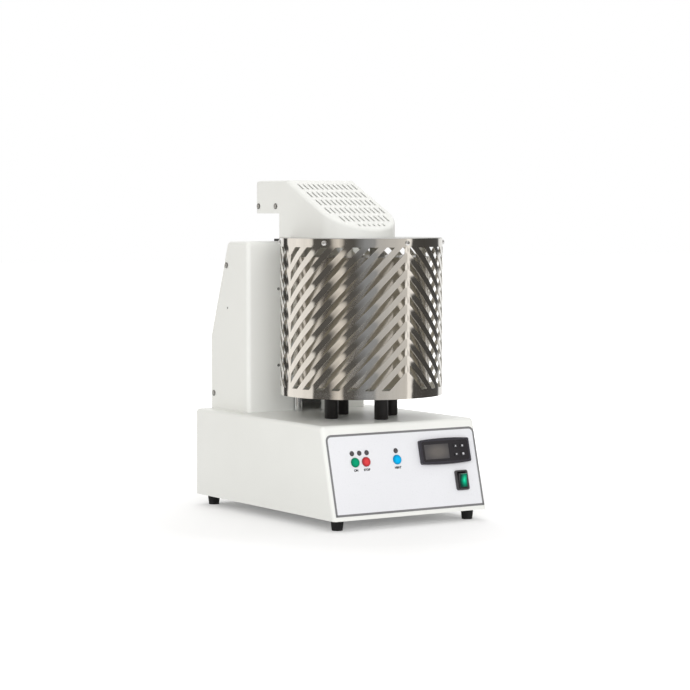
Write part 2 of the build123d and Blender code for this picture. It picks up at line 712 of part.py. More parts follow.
with BuildPart() as led_lenses:
    with BuildSketch(*[on_panel(x, LED_DOWN, -BOARD_DEPTH) for x in LED_XS]):
        Circle(LED_D / 2)
    extrude(amount=BOARD_DEPTH + FOIL_T + LED_PROUD)
    rims = led_lenses.edges().filter_by(GeomType.CIRCLE).group_by(Axis(PANEL.origin, PANEL.z_dir))[-1]
    chamfer(rims, LED_BEVEL)
save(led_lenses, "led_lenses")

with BuildPart() as button_board:
    with BuildSketch(on_panel((BOARD_LEFT + BOARD_RIGHT) / 2, (BOARD_TOP + BOARD_BOTTOM) / 2, -BOARD_DEPTH)):
        Rectangle(BOARD_RIGHT - BOARD_LEFT, BOARD_BOTTOM - BOARD_TOP)
    extrude(amount=-BOARD_T)
    with Locations(*[on_panel(x, BUTTON_DOWN, -BOARD_DEPTH) for x in buttons.values()]):
        Box(TACT_W, TACT_W, TACT_H, align=LOW)
save(button_board, "button_board")

# Power inlet and fuse on the rear panel
inlet_outside = Plane(origin=(INLET_X, REAR_Y, FLOOR_Z + INLET_UP), x_dir=(-1, 0, 0), z_dir=(0, 1, 0))
with BuildPart() as power_inlet:
    with BuildSketch(inlet_outside):
        RectangleRounded(INLET_FLANGE_W, INLET_FLANGE_H, SHEET)
    extrude(amount=INLET_FLANGE_T)
    with BuildSketch(inlet_outside):
        Rectangle(INLET_BODY_W, INLET_BODY_H)
    extrude(amount=-INLET_DEPTH)
    with BuildSketch(inlet_outside.offset(INLET_FLANGE_T)) as socket:
        Rectangle(INLET_RECESS_W, INLET_RECESS_H)
        chamfer(socket.vertices().group_by(Axis.Y)[-1], INLET_BEVEL)
    extrude(amount=-INLET_RECESS_DEPTH, mode=Mode.SUBTRACT)
    with BuildSketch(inlet_outside.offset(INLET_FLANGE_T - INLET_RECESS_DEPTH)):
        with Locations((-PIN_SPREAD, -PIN_DROP), (0, PIN_DROP), (PIN_SPREAD, -PIN_DROP)):
            Rectangle(PIN_W, PIN_H)
    extrude(amount=PIN_L)
save(power_inlet, "power_inlet")

fuse_outside = Plane(origin=(FUSE_X, REAR_Y, FLOOR_Z + INLET_UP), x_dir=(-1, 0, 0), z_dir=(0, 1, 0))
with BuildPart() as fuse_holder:
    with Locations(fuse_outside):
        Cylinder(FUSE_D / 2, FUSE_T, align=LOW)
        Cylinder(FUSE_BODY_D / 2, FUSE_DEPTH, align=HIGH)
    with Locations(fuse_outside.offset(FUSE_T)):
        Box(FUSE_SLOT_L, SHEET, 2 * SHEET, mode=Mode.SUBTRACT)
save(fuse_holder, "fuse_holder")

# Relay and control board on the floor
inner_floor = FLOOR_Z + SHEET
with BuildPart() as relay_module:
    with Locations((RELAY_X, RELAY_Y, inner_floor)):
        Box(RELAY_W, RELAY_L, RELAY_H, align=LOW)
    with Locations((RELAY_X, RELAY_Y, inner_floor + RELAY_H)):
        with GridLocations(TERMINAL_W, TERMINAL_L, 2, 2):
            Cylinder(TERMINAL_D / 2, TERMINAL_DEPTH, align=HIGH, mode=Mode.SUBTRACT)
save(relay_module, "relay_module")

board_z = inner_floor + CONTROL_SPACER_H
with BuildPart() as control_board:
    with BuildSketch(Plane.XY.offset(board_z)):
        with Locations((CONTROL_X, CONTROL_Y)):
            Rectangle(CONTROL_W, CONTROL_L)
    extrude(amount=BOARD_T)
    with Locations((CONTROL_X, CONTROL_Y + CONTROL_L / 5, board_z + BOARD_T)):
        Box(TRAFO_W, TRAFO_L, TRAFO_H, align=LOW)
save(control_board, "control_board")

with BuildPart() as board_spacers:
    with BuildSketch(*[on_panel(x, down, -BOARD_DEPTH) for x, down in board_corners]):
        Circle(SPACER_D / 2)
    extrude(amount=BOARD_DEPTH - SHEET)
    with BuildSketch(Plane.XY.offset(inner_floor)):
        with Locations((CONTROL_X, CONTROL_Y)):
            with GridLocations(CONTROL_W - 2 * SPACER_INSET, CONTROL_L - 2 * SPACER_INSET, 2, 2):
                Circle(SPACER_D / 2)
    extrude(amount=CONTROL_SPACER_H)
save(board_spacers, "board_spacers")

# Lift motor under the casing's roof, and the screw that it turns
motor_top = TOP_Z - SHEET
with BuildPart() as lift_motor:
    with BuildSketch(Plane.XY.offset(motor_top)) as motor_outline:
        with Locations((0, MAST_Y)):
            Rectangle(MOTOR_W, MOTOR_W)
        chamfer(motor_outline.vertices(), MOTOR_CORNER)
        with Locations((0, MAST_Y)):
            Circle(JOURNAL_D / 2 + RUNNING_GAP, mode=Mode.SUBTRACT)
    extrude(amount=-MOTOR_H)
save(lift_motor, "lift_motor")

carriage_z = TOP_Z + CARRIAGE_UP
nut_z = carriage_z - NUT_FLANGE_T
drive_foot = TOP_Z + SHEET
drive_top = carriage_z + STROKE + NUT_L + SHEET
with BuildPart() as lead_screw:
    with BuildSketch(Plane.XY.offset(drive_foot)):
        with Locations((0, MAST_Y)):
            Circle(SCREW_DRIVE_D / 2)
    extrude(amount=drive_top - drive_foot)
    chamfer(lead_screw.edges().sort_by(Axis.Z)[-1], SHEET)
    with BuildSketch(Plane.XY.offset(drive_foot)):
        with Locations((0, MAST_Y)):
            Circle(JOURNAL_D / 2)
    extrude(amount=-JOURNAL_L)
save(lead_screw, "lead_screw")


# Column
def column_form(inset, bend, below, behind):
    """The column's form, drawn in at the front, top and sides."""
    top = COLUMN_TOP_Z - inset
    bottom = TOP_Z - below
    half = COLUMN_W / 2 - inset
    slant_top = column_rear(COLUMN_H) + behind + inset * tan(radians(COLUMN_LEAN))
    with BuildPart() as body:
        with BuildSketch(Plane.YZ.offset(-half)):
            with BuildLine():
                Polyline(
                    (COLUMN_Y + inset, bottom),
                    (COLUMN_Y + inset, top),
                    (slant_top, top),
                    (REAR_Y + behind, TOP_Z + COLUMN_BREAK_H),
                    (REAR_Y + behind, bottom),
                    close=True,
                )
            make_face()
        extrude(amount=2 * half)
        roof = body.faces().sort_by(Axis.Z)[-1]
        front = body.faces().sort_by(Axis.Y)[0]
        bends = roof.edges().filter_by(Axis.Y) + front.edges().filter_by(Axis.Z)
        bends += front.edges().filter_by(Axis.X).sort_by(Axis.Z)[-1:]
        fillet(bends, bend)
    return body.part


column_hollow = column_form(SHEET, BEND_R - SHEET, below=OVERCUT, behind=OVERCUT)
column_outer = column_form(0.0, BEND_R, below=0.0, behind=0.0)
slot_top = carriage_z + STROKE + CARRIAGE_H + SLOT_TOP_GAP
with BuildPart() as column_shell:
    add(column_outer)
    add(column_hollow, mode=Mode.SUBTRACT)
    with Locations((0, COLUMN_Y, TOP_Z)):
        Box(SLOT_W, THROUGH, 2 * (slot_top - TOP_Z), mode=Mode.SUBTRACT)
    with Locations((0, MAST_Y, COLUMN_TOP_Z)):
        Cylinder(BUSH_D / 2 + SEAT_GAP, THROUGH, mode=Mode.SUBTRACT)
    with Locations(*column_side_places, *column_front_places):
        Cylinder(SCREW_HOLE_D / 2, THROUGH, mode=Mode.SUBTRACT)
save(column_shell, "column_shell")


def cover_outline(inset, depth, top):
    """The rear cover's section between two depths in from the column's rear face."""
    lean = radians(COLUMN_LEAN)
    corner = TOP_Z + COLUMN_BREAK_H

    def slant(into, height):
        return REAR_Y - into / cos(lean) - (height - corner) * tan(lean)

    return Polyline(
        (REAR_Y - inset, TOP_Z),
        (REAR_Y - inset, corner - inset * tan(lean / 2)),
        (slant(inset, top), top),
        (slant(depth, top), top),
        (REAR_Y - depth, corner - depth * tan(lean / 2)),
        (REAR_Y - depth, TOP_Z),
        close=True,
    )


cover_half = COLUMN_W / 2 - SHEET - SEAM
cover_top = COLUMN_TOP_Z - SHEET - SEAM
slant_middle = TOP_Z + (COLUMN_BREAK_H + COLUMN_H) / 2
slant_face = Plane(
    origin=(0, column_rear((COLUMN_BREAK_H + COLUMN_H) / 2), slant_middle),
    x_dir=(-1, 0, 0),
    z_dir=(0, cos(radians(COLUMN_LEAN)), sin(radians(COLUMN_LEAN))),
)
with BuildPart() as column_cover:
    with BuildSketch(Plane.YZ.offset(-cover_half)):
        with BuildLine():
            cover_outline(0.0, COLUMN_FLANGE, cover_top)
        make_face()
    extrude(amount=2 * cover_half)
    fillet(column_cover.faces().sort_by(Axis.Z)[-1].edges().filter_by(Axis.Y), BEND_R)
    with BuildSketch(Plane.YZ.offset(-cover_half + SHEET)):
        with BuildLine():
            cover_outline(SHEET, COLUMN_FLANGE + OVERCUT, cover_top + OVERCUT)
        make_face()
    extrude(amount=2 * (cover_half - SHEET), mode=Mode.SUBTRACT)
    with Locations(slant_face):
        with GridLocations(0, 2 * VENT_PITCH, 1, COVER_VENT_COUNT):
            Box(COVER_VENT_L, VENT_W, THROUGH, mode=Mode.SUBTRACT)
    with Locations(*column_side_places):
        Cylinder(SCREW_HOLE_D / 2, 2 * THROUGH, mode=Mode.SUBTRACT)
save(column_cover, "column_cover")
screws(column_side_places + column_front_places + rear_panel_places, "casing_screws")

with BuildPart() as mast_bush:
    with BuildSketch(Plane.XY.offset(COLUMN_TOP_Z)):
        with Locations((0, MAST_Y)):
            RectangleRounded(BUSH_D + 2 * BUSH_LUG, BUSH_D, BUSH_FLANGE_R)
    extrude(amount=BUSH_FLANGE_T)
    with BuildSketch(Plane.XY.offset(COLUMN_TOP_Z)):
        with Locations((0, MAST_Y)):
            Circle(BUSH_D / 2)
    extrude(amount=-BUSH_L)
    with Locations((0, MAST_Y, COLUMN_TOP_Z)):
        Cylinder(MAST_D / 2 + RUNNING_GAP, 4 * BUSH_L, mode=Mode.SUBTRACT)
save(mast_bush, "mast_bush")

# Guide rods and the bracket that holds their tops to the column
for side, x in (("left", -ROD_X), ("right", ROD_X)):
    with BuildPart() as guide_rod:
        with BuildSketch(Plane.XY.offset(TOP_Z - ROD_FOOT_L)):
            with Locations((x, ROD_Y)):
                Circle(ROD_D / 2)
        extrude(amount=ROD_FOOT_L + ROD_H)
    save(guide_rod, f"guide_rod_{side}")

rod_bracket_z = TOP_Z + ROD_H - ROD_BRACKET_H
with BuildPart() as rod_bracket:
    with BuildSketch(Plane.XY.offset(rod_bracket_z)):
        with Locations((0, AXIS_Y + (ROD_BRACKET_FRONT + COLUMN_FRONT) / 2)):
            Rectangle(ROD_BRACKET_W, COLUMN_FRONT - ROD_BRACKET_FRONT)
        with Locations((-ROD_X, ROD_Y), (ROD_X, ROD_Y)):
            Circle(ROD_D / 2 + SEAT_GAP, mode=Mode.SUBTRACT)
    extrude(amount=ROD_BRACKET_H)
save(rod_bracket, "rod_bracket")

# Posts and table
for side, place in post_places.items():
    with BuildPart() as post:
        with BuildSketch(Plane.XY.offset(TOP_Z)):
            with Locations(place):
                Circle(POST_D / 2)
        extrude(amount=HEATER_UP)
        chamfer(post.edges().filter_by(GeomType.CIRCLE), POST_CHAMFER)
    save(post, f"post_{side}")

save(tube(on_axis(HEATER_Z), TABLE_R, TABLE_BORE_D / 2, TABLE_T), "table_plate")
with BuildPart() as table_pad:
    with BuildSketch(on_axis(HEATER_Z + TABLE_T)):
        Circle(TABLE_R)
    extrude(amount=TABLE_PAD_T)
    chamfer(table_pad.edges().sort_by(Axis.Z)[-1], SHEET)
save(table_pad, "table_pad")

# Head plate: a ring that carries the guard, the heater and the hood
with BuildPart() as head_plate:
    with BuildSketch(on_axis(PLATE_TOP_Z - PLATE_T)):
        Circle(GUARD_R - GUARD_T - SHELL_GAP)
        with Locations((0, HOOD_REAR / 2)):
            Rectangle(2 * HOOD_R, HOOD_REAR)
        Circle(PLATE_HOLE_R, mode=Mode.SUBTRACT)
    extrude(amount=PLATE_T)
    with BuildSketch(on_axis(PLATE_TOP_Z - RIM_H)):
        Circle(GUARD_R - GUARD_T - SHELL_GAP)
        Circle(GUARD_R - GUARD_T - SHELL_GAP - RIM_T, mode=Mode.SUBTRACT)
    extrude(amount=RIM_H - PLATE_T)
    with Locations(*guard_places):
        Cylinder(SCREW_HOLE_D / 2, 2 * (SCREW_L + OVERCUT), mode=Mode.SUBTRACT)
save(head_plate, "head_plate")


# Guard: rolled sheet with chevron slots.
# They fall away from the front spine and rise again behind the side seams.
slot_low = GUARD_Z + GUARD_FOOT_BAND
slot_high = GUARD_TOP_Z - GUARD_TOP_BAND
slot_start = GUARD_TOP_Z - SLOT_TOP_DROP_FRONT - SLOT_OPEN


def sector(first, last, low, high, reach):
    """A wedge about the head's axis between two angles from the front and two heights."""
    with BuildPart() as body:
        with BuildSketch(on_axis(low)):
            with BuildLine():
                start = PolarLine((0, 0), reach, first - 90)
                end = PolarLine((0, 0), reach, last - 90)
                Line(start @ 1, end @ 1)
            make_face()
        extrude(amount=high - low)
    return body.part


def slots(first, last):
    """Helical slot cutters that rise towards the front spine, between two angles left of the front."""
    window = sector(first, last, slot_low, slot_high, 2 * GUARD_R)
    climb = radians(last - first) * GUARD_R * SLOT_RISE
    drop = radians(-SPINE_FRONT - last) * GUARD_R * SLOT_RISE
    most = ceil((GUARD_H + climb + drop) / SLOT_PITCH)
    cutters = []
    for step in range(-most, most + 1):
        high_end = slot_start - SLOT_PITCH * step - drop
        low_end = high_end - climb
        if low_end > slot_high - SLOT_OPEN / 4 or high_end + SLOT_OPEN < slot_low + SLOT_PITCH / 2:
            continue
        edges = [
            Helix(pitch=2 * pi * GUARD_R * SLOT_RISE, height=climb, radius=radius)
            .edge()
            .rotate(Axis.Z, first - 90)
            .translate((0, AXIS_Y, low_end))
            for radius in (GUARD_R - 3 * GUARD_T, GUARD_R + 2 * GUARD_T)
        ]
        band = Solid.extrude(Face.make_surface_from_curves(*edges), Vector(0, 0, SLOT_OPEN))
        cutters += (band & window).solids()
    return cutters


def seam_plane(angle):
    """An upright plane through the head's axis, for mirroring about a seam."""
    return Plane(origin=(0, AXIS_Y, 0), z_dir=(cos(radians(angle)), sin(radians(angle)), 0))


front_left = slots(-SIDE_SEAM + SPINE_SIDE, -SPINE_FRONT)
rear_end = 2 * SIDE_SEAM - (180.0 - SPINE_REAR)
rear_left = [cut.mirror(seam_plane(-SIDE_SEAM)) for cut in slots(-SIDE_SEAM + SPINE_SIDE, -rear_end)]
with BuildPart() as guard_sheet:
    add(tube(on_axis(GUARD_Z), GUARD_R, GUARD_R - GUARD_T, GUARD_H).part)
    with Locations(*guard_places):
        Cylinder(SCREW_HOLE_D / 2, SCREW_L, mode=Mode.SUBTRACT)
    with Locations((0, AXIS_Y + GUARD_R, PLATE_TOP_Z - PLATE_T - SHELL_GAP)):
        Box(2 * (HOOD_R + SHELL_GAP), GUARD_R, GUARD_H, align=LOW, mode=Mode.SUBTRACT)

# Each half is put together from even turns of the sheet, so that its long strips keep their roll
for half, start, span, cuts in (
    ("front", -SIDE_SEAM, 2 * SIDE_SEAM, front_left),
    ("rear", SIDE_SEAM, 360.0 - 2 * SIDE_SEAM, rear_left),
):
    count = ceil(span / GUARD_TURN)
    angles = [start + span * turn / count for turn in range(count + 1)]
    turns = [
        guard_sheet.part & sector(first, last, GUARD_Z - OVERCUT, GUARD_TOP_Z + OVERCUT, 2 * GUARD_R)
        for first, last in pairwise(angles)
    ]
    with SkipClean(), BuildPart() as guard:
        add(turns)
        add(cuts + [cut.mirror(Plane.YZ) for cut in cuts], mode=Mode.SUBTRACT)
    save(guard, f"guard_{half}")
screws(guard_places, "guard_screws")

# Heater: a steel drum round the insulation and the muffle with its cast-in winding
with BuildPart() as heater_casing:
    with BuildSketch(on_axis(HEATER_Z + HEATER_T)):
        Circle(HEATER_R)
        Circle(HEATER_R - HEATER_T, mode=Mode.SUBTRACT)
    extrude(amount=HEATER_TOP_Z - HEATER_Z - HEATER_T)
    with BuildSketch(on_axis(HEATER_TOP_Z - HEATER_T)):
        Circle(HEATER_R)
        Circle(VENT_R, mode=Mode.SUBTRACT)
        with Locations((THERMO_X, 0)):
            Circle(THERMO_D / 2 + SEAT_GAP, mode=Mode.SUBTRACT)
    extrude(amount=HEATER_T)
save(heater_casing, "heater_casing")
save(tube(on_axis(HEATER_Z), HEATER_R, CHAMBER_R, HEATER_T), "heater_bottom")
muffle_foot = HEATER_Z + HEATER_T
save(tube(on_axis(muffle_foot), CHAMBER_R + MUFFLE_T, CHAMBER_R, CHAMBER_TOP_Z - muffle_foot), "muffle")

with BuildPart() as insulation:
    with BuildSketch(on_axis(muffle_foot)):
        Circle(HEATER_R - HEATER_T - SHELL_GAP)
        Circle(CHAMBER_R + MUFFLE_T + SHELL_GAP, mode=Mode.SUBTRACT)
    extrude(amount=CHAMBER_TOP_Z - muffle_foot)
    with BuildSketch(on_axis(CHAMBER_TOP_Z)):
        Circle(HEATER_R - HEATER_T - SHELL_GAP)
        Circle(VENT_R, mode=Mode.SUBTRACT)
        with Locations((THERMO_X, 0)):
            Circle(THERMO_D / 2 + SEAT_GAP, mode=Mode.SUBTRACT)
    extrude(amount=HEATER_LID - HEATER_T)
save(insulation, "insulation")

with BuildPart() as heater_spacers:
    with BuildSketch(on_axis(HEATER_TOP_Z)):
        with PolarLocations(SPACER_RING_R, 4, start_angle=45):
            Circle(HEATER_SPACER_D / 2)
    extrude(amount=PLATE_TOP_Z - PLATE_T - HEATER_TOP_Z)
save(heater_spacers, "heater_spacers")

with BuildPart() as thermocouple:
    with BuildSketch(on_axis(CHAMBER_TOP_Z - THERMO_REACH)):
        with Locations((THERMO_X, 0)):
            Circle(THERMO_D / 2)
    extrude(amount=HEATER_TOP_Z - CHAMBER_TOP_Z + THERMO_REACH)
    with BuildSketch(on_axis(HEATER_TOP_Z)):
        with Locations((THERMO_X, 0)):
            Circle(THERMO_D)
    extrude(amount=THERMO_D)
save(thermocouple, "thermocouple")

# Hood: a horseshoe in plan, with a sloping vented front and an arm that reaches over the column
hood_slope = Plane(
    origin=(0, AXIS_Y + HOOD_REAR - HOOD_SLOPE_BACK, HOOD_TOP_Z),
    x_dir=(1, 0, 0),
    z_dir=(0, -sin(radians(HOOD_SLOPE)), cos(radians(HOOD_SLOPE))),
)


def hood_form(inset, bend, below):
    """The hood's form, drawn in on every side but its undersides."""
    radius = HOOD_R - inset
    bottom = PLATE_TOP_Z - below
    arm_bottom = ARM_Z - below
    arm_rear = ARM_REAR - inset
    reach = 4 * HOOD_R
    with BuildPart() as body:
        with BuildSketch(on_axis(bottom)):
            with Locations((0, HOOD_FRONT_CENTRE)):
                Circle(radius)
            with Locations((0, (HOOD_FRONT_CENTRE + arm_rear) / 2)):
                Rectangle(2 * radius, arm_rear - HOOD_FRONT_CENTRE)
        extrude(amount=HOOD_TOP_Z - inset - bottom)
        with BuildSketch(hood_slope.offset(-inset)):
            Rectangle(reach, 2 * reach)
        extrude(amount=reach, mode=Mode.SUBTRACT)
        rounds = body.faces().sort_by(Axis.Z)[-1].edges() + body.faces().filter_by(hood_slope).edges()
        seen = []
        for edge in rounds:
            if not any(edge.is_same(other) for other in seen):
                seen.append(edge)
        rear_corners = body.edges().filter_by(Axis.Z).group_by(Axis.Y)[-1]
        fillet(seen + list(rear_corners), bend)
        with BuildSketch(on_axis(bottom)):
            with Locations((0, HOOD_REAR - inset + reach / 2)):
                Rectangle(reach, reach)
        extrude(amount=arm_bottom - bottom, mode=Mode.SUBTRACT)
    return body.part


def grille_count(down):
    """How many slots fit side by side at a distance down the hood's slope. The count is even."""
    back = HOOD_REAR - HOOD_SLOPE_BACK - down * cos(radians(HOOD_SLOPE))
    ahead = max(0, HOOD_FRONT_CENTRE - back)
    half = sqrt(max(0, HOOD_R**2 - ahead**2)) - GRILLE_MARGIN
    return 2 * max(0, floor(((2 * half - GRILLE_SLOT_W) / GRILLE_PITCH + 1) / 2))


hood_hollow = hood_form(SHEET, HOOD_ROUND - SHEET, below=OVERCUT)
hood_outer = hood_form(0.0, HOOD_ROUND, below=0.0)
with BuildPart() as hood_shell:
    add(hood_outer)
    add(hood_hollow, mode=Mode.SUBTRACT)
    for row in range(GRILLE_ROWS):
        length = GRILLE_LAST_L if row == GRILLE_ROWS - 1 else GRILLE_SLOT_L
        middle = -GRILLE_START - row * GRILLE_ROW_PITCH - length / 2
        count = grille_count(length / 2 - middle)
        with BuildSketch(hood_slope.offset(SHEET)):
            with Locations((0, middle)):
                with GridLocations(GRILLE_PITCH, 0, count, 1):
                    Rectangle(GRILLE_SLOT_W, length)
        extrude(amount=-3 * SHEET, mode=Mode.SUBTRACT)
    with Locations(*arm_places):
        Cylinder(SCREW_HOLE_D / 2, THROUGH, mode=Mode.SUBTRACT)
save(hood_shell, "hood_shell")

arm_half = HOOD_R - SHEET - SHELL_GAP
arm_front_y = AXIS_Y + HOOD_REAR
arm_back_y = AXIS_Y + ARM_REAR - SHEET - SHELL_GAP
with BuildPart() as arm_floor:
    with BuildSketch(Plane.XY.offset(ARM_Z)):
        with Locations((0, (arm_front_y + arm_back_y) / 2)):
            Rectangle(2 * arm_half, arm_back_y - arm_front_y)
    extrude(amount=ARM_FLANGE_H)
    fillet(arm_floor.edges().filter_by(Axis.Z).group_by(Axis.Y)[-1], HOOD_ROUND)
    with BuildSketch(Plane.XY.offset(ARM_Z + ARM_FLOOR_T)):
        with Locations((0, (arm_front_y + arm_back_y) / 2)):
            Rectangle(2 * (arm_half - ARM_FLOOR_T), arm_back_y - arm_front_y)
    extrude(amount=ARM_FLANGE_H, mode=Mode.SUBTRACT)
    with Locations((0, MAST_Y, ARM_Z)):
        Cylinder(MAST_D / 2 + SEAT_GAP, THROUGH, mode=Mode.SUBTRACT)
    with Locations(*arm_places):
        Cylinder(SCREW_HOLE_D / 2, 2 * THROUGH, mode=Mode.SUBTRACT)
save(arm_floor, "arm_floor")
screws(arm_places, "arm_screws")

clamp_w = MAST_D + 2 * CLAMP_WALL_SIDE
with BuildPart() as mast_clamp:
    with BuildSketch(Plane.XY.offset(ARM_Z + ARM_FLOOR_T)):
        with Locations((0, MAST_Y)):
            Rectangle(clamp_w, MAST_D + 2 * CLAMP_WALL)
            Circle(MAST_D / 2 + SEAT_GAP, mode=Mode.SUBTRACT)
        with Locations((clamp_w / 4, MAST_Y)):
            Rectangle(clamp_w / 2, SHEET, mode=Mode.SUBTRACT)
    extrude(amount=CLAMP_H)
save(mast_clamp, "mast_clamp")

# Mast, nut and carriage
save(
    tube(
        Plane.XY.offset(carriage_z).shift_origin((0, MAST_Y, carriage_z)),
        MAST_D / 2,
        MAST_BORE / 2,
        MAST_TOP_Z - carriage_z,
    ),
    "mast",
)

with BuildPart() as lift_nut:
    with BuildSketch(Plane.XY.offset(nut_z)):
        with Locations((0, MAST_Y)):
            Circle(MAST_D / 2 + NUT_FLANGE_WALL)
    extrude(amount=NUT_FLANGE_T)
    with BuildSketch(Plane.XY.offset(carriage_z)):
        with Locations((0, MAST_Y)):
            Circle(MAST_BORE / 2 - SEAT_GAP)
    extrude(amount=NUT_L)
    with Locations((0, MAST_Y, nut_z)):
        Cylinder(SCREW_DRIVE_D / 2 + RUNNING_GAP, 4 * NUT_L, mode=Mode.SUBTRACT)
save(lift_nut, "lift_nut")

back_plate_rear = AXIS_Y + BACK_PLATE_REACH + BACK_PLATE_T
carriage_back = AXIS_Y + CARRIAGE_REAR
with BuildPart() as carriage:
    with BuildSketch(Plane.XY.offset(carriage_z)):
        with Locations((0, (back_plate_rear + carriage_back) / 2)):
            Rectangle(CARRIAGE_W, carriage_back - back_plate_rear)
        with Locations((0, (carriage_back + MAST_Y) / 2)):
            Rectangle(CARRIAGE_NECK_W, MAST_Y - carriage_back)
        with Locations((0, MAST_Y)):
            Circle(MAST_D / 2 + CARRIAGE_RING_WALL)
            Circle(MAST_D / 2 + SEAT_GAP, mode=Mode.SUBTRACT)
        with Locations((-ROD_X, ROD_Y), (ROD_X, ROD_Y)):
            Circle(GUIDE_BUSH_D / 2, mode=Mode.SUBTRACT)
    extrude(amount=CARRIAGE_H)
save(carriage, "carriage")

with BuildPart() as guide_bushes:
    with BuildSketch(Plane.XY.offset(carriage_z)):
        with Locations((-ROD_X, ROD_Y), (ROD_X, ROD_Y)):
            Circle(GUIDE_BUSH_D / 2 - RUNNING_GAP)
            Circle(ROD_D / 2 + RUNNING_GAP, mode=Mode.SUBTRACT)
    extrude(amount=CARRIAGE_H)
save(guide_bushes, "guide_bushes")

with BuildPart() as back_plate:
    with BuildSketch(Plane.XY.offset(carriage_z)):
        with Locations((0, AXIS_Y + BACK_PLATE_REACH + BACK_PLATE_T / 2)):
            Rectangle(BACK_PLATE_W, BACK_PLATE_T)
    extrude(amount=PLATE_TOP_Z - PLATE_T - carriage_z)
save(back_plate, "back_plate")
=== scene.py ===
"""Preheating furnace: finishes for every piece, and the small pieces that dress the model."""

import json
from math import cos, pi, radians, sin

import bmesh
import bpy
from mathutils import Matrix, Vector


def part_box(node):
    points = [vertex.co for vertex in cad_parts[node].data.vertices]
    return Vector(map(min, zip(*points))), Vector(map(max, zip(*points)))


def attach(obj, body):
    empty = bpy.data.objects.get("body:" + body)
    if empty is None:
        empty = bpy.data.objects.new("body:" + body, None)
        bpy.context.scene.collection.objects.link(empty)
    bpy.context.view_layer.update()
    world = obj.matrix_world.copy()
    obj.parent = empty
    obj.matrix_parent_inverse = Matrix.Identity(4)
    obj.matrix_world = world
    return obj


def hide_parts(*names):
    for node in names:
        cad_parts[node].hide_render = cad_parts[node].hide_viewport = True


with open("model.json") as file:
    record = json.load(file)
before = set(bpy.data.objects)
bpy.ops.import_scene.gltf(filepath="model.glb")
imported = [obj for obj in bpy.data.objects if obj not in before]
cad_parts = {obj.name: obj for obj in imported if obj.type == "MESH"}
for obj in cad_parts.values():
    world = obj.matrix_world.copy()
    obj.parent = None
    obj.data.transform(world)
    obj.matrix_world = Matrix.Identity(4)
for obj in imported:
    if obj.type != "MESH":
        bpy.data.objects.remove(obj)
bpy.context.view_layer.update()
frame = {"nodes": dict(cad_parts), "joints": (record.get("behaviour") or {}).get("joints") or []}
nodes = frame["nodes"]

# Sizes in metres, and turns in radians
MM = 0.001
MERGE = 0.001 * MM

# Control foil and its print
FOIL_H = 98.2 * MM
FOIL_T = 0.2 * MM
FOIL_LINE_W = 2.7 * MM
FOIL_LINE_T = 0.05 * MM
FOIL_CORNER_R = 7.5 * MM
FOIL_LOW_R = 1.0 * MM
CORNER_STEPS = 6
LETTER_T = 0.05 * MM
LABEL_DROP = 9.2 * MM
LABEL_H = 2.6 * MM
LABEL_WEIGHT = 0.22 * MM

# Screws. A head is its radius and its height, and a step is a share of each.
CASING_HEAD = (3.8 * MM, 1.1 * MM)
FRONT_HEAD = (1.7 * MM, 0.8 * MM)
GUARD_HEAD = (3.0 * MM, 1.6 * MM)
NODE_HEAD_H = 1.6 * MM
HEAD_STEPS = ((1.0, 0.4), (0.9, 0.72), (0.72, 0.93), (0.52, 1.0))
SCREW_SOCKET_R = 1.1 * MM
SCREW_SOCKET_SHARE = 0.4
SCREW_SOCKET_DEPTH = 0.6 * MM
SCREW_SHANK_R = 1.5 * MM
SCREW_SHANK_L = 6.0 * MM
SCREW_FACE = 0.56
FRONT_DEPTH = 5 * MM

# Rivets: radius, height, and place along the side and upwards
RIVET_R = 1.4 * MM
RIVET_H = 0.5 * MM
RIVET_PLACE = (120.0 * MM, 254.0 * MM)

# Guard and heater
GUARD_R = 100.0 * MM
SIDE_SEAM = radians(95.25)
SPINE_FRONT = radians(2)
STRIP_PITCH = 20.6 * MM
STRIP_DROP = 40.5 * MM
STRIP_DISH = 0.095 * MM
RIPPLE = 0.5 * MM
SHEET_SIDE = 0.9
SKIRT_R = 83.0 * MM
SKIRT_T = 1.0 * MM
SKIRT_DROP = 3.0 * MM

# Rocker and buttons
ROCKER_TILT = radians(10)
LENS_LEFT = 75.2 * MM
LENS_RIGHT = 85.2 * MM
LENS_HALF = 8.1 * MM
LENS_T = 0.5 * MM
LENS_HIGHLIGHT_FACING = 0.35
LENS_RIBS = 260.0
CAP_R = 7.2 * MM

# Controller. A key's sign is its number, its count of sides and its turn.
KEY_SIGNS = ((1, 3, 0.0), (2, 4, pi / 4), (3, 3, pi), (4, 12, 0.0))
KEY_MARK_R = 1.5 * MM
KEY_FACE = 5.3 * MM
WINDOW_H = 22.0 * MM
FILM_SIZE = (67.8 * MM, 25.0 * MM)
FILM_PLACE = (58.8 * MM, 20.5 * MM)
FILM_CORNER_R = 3 * MM
FILM_OPENING = (36.0 * MM, 18.2 * MM)
OPENING_PLACE = (45.9 * MM, 20.2 * MM)
OPENING_CORNER_R = 1 * MM
FILM_UP = 4.5 * MM
FILM_T = 0.06 * MM

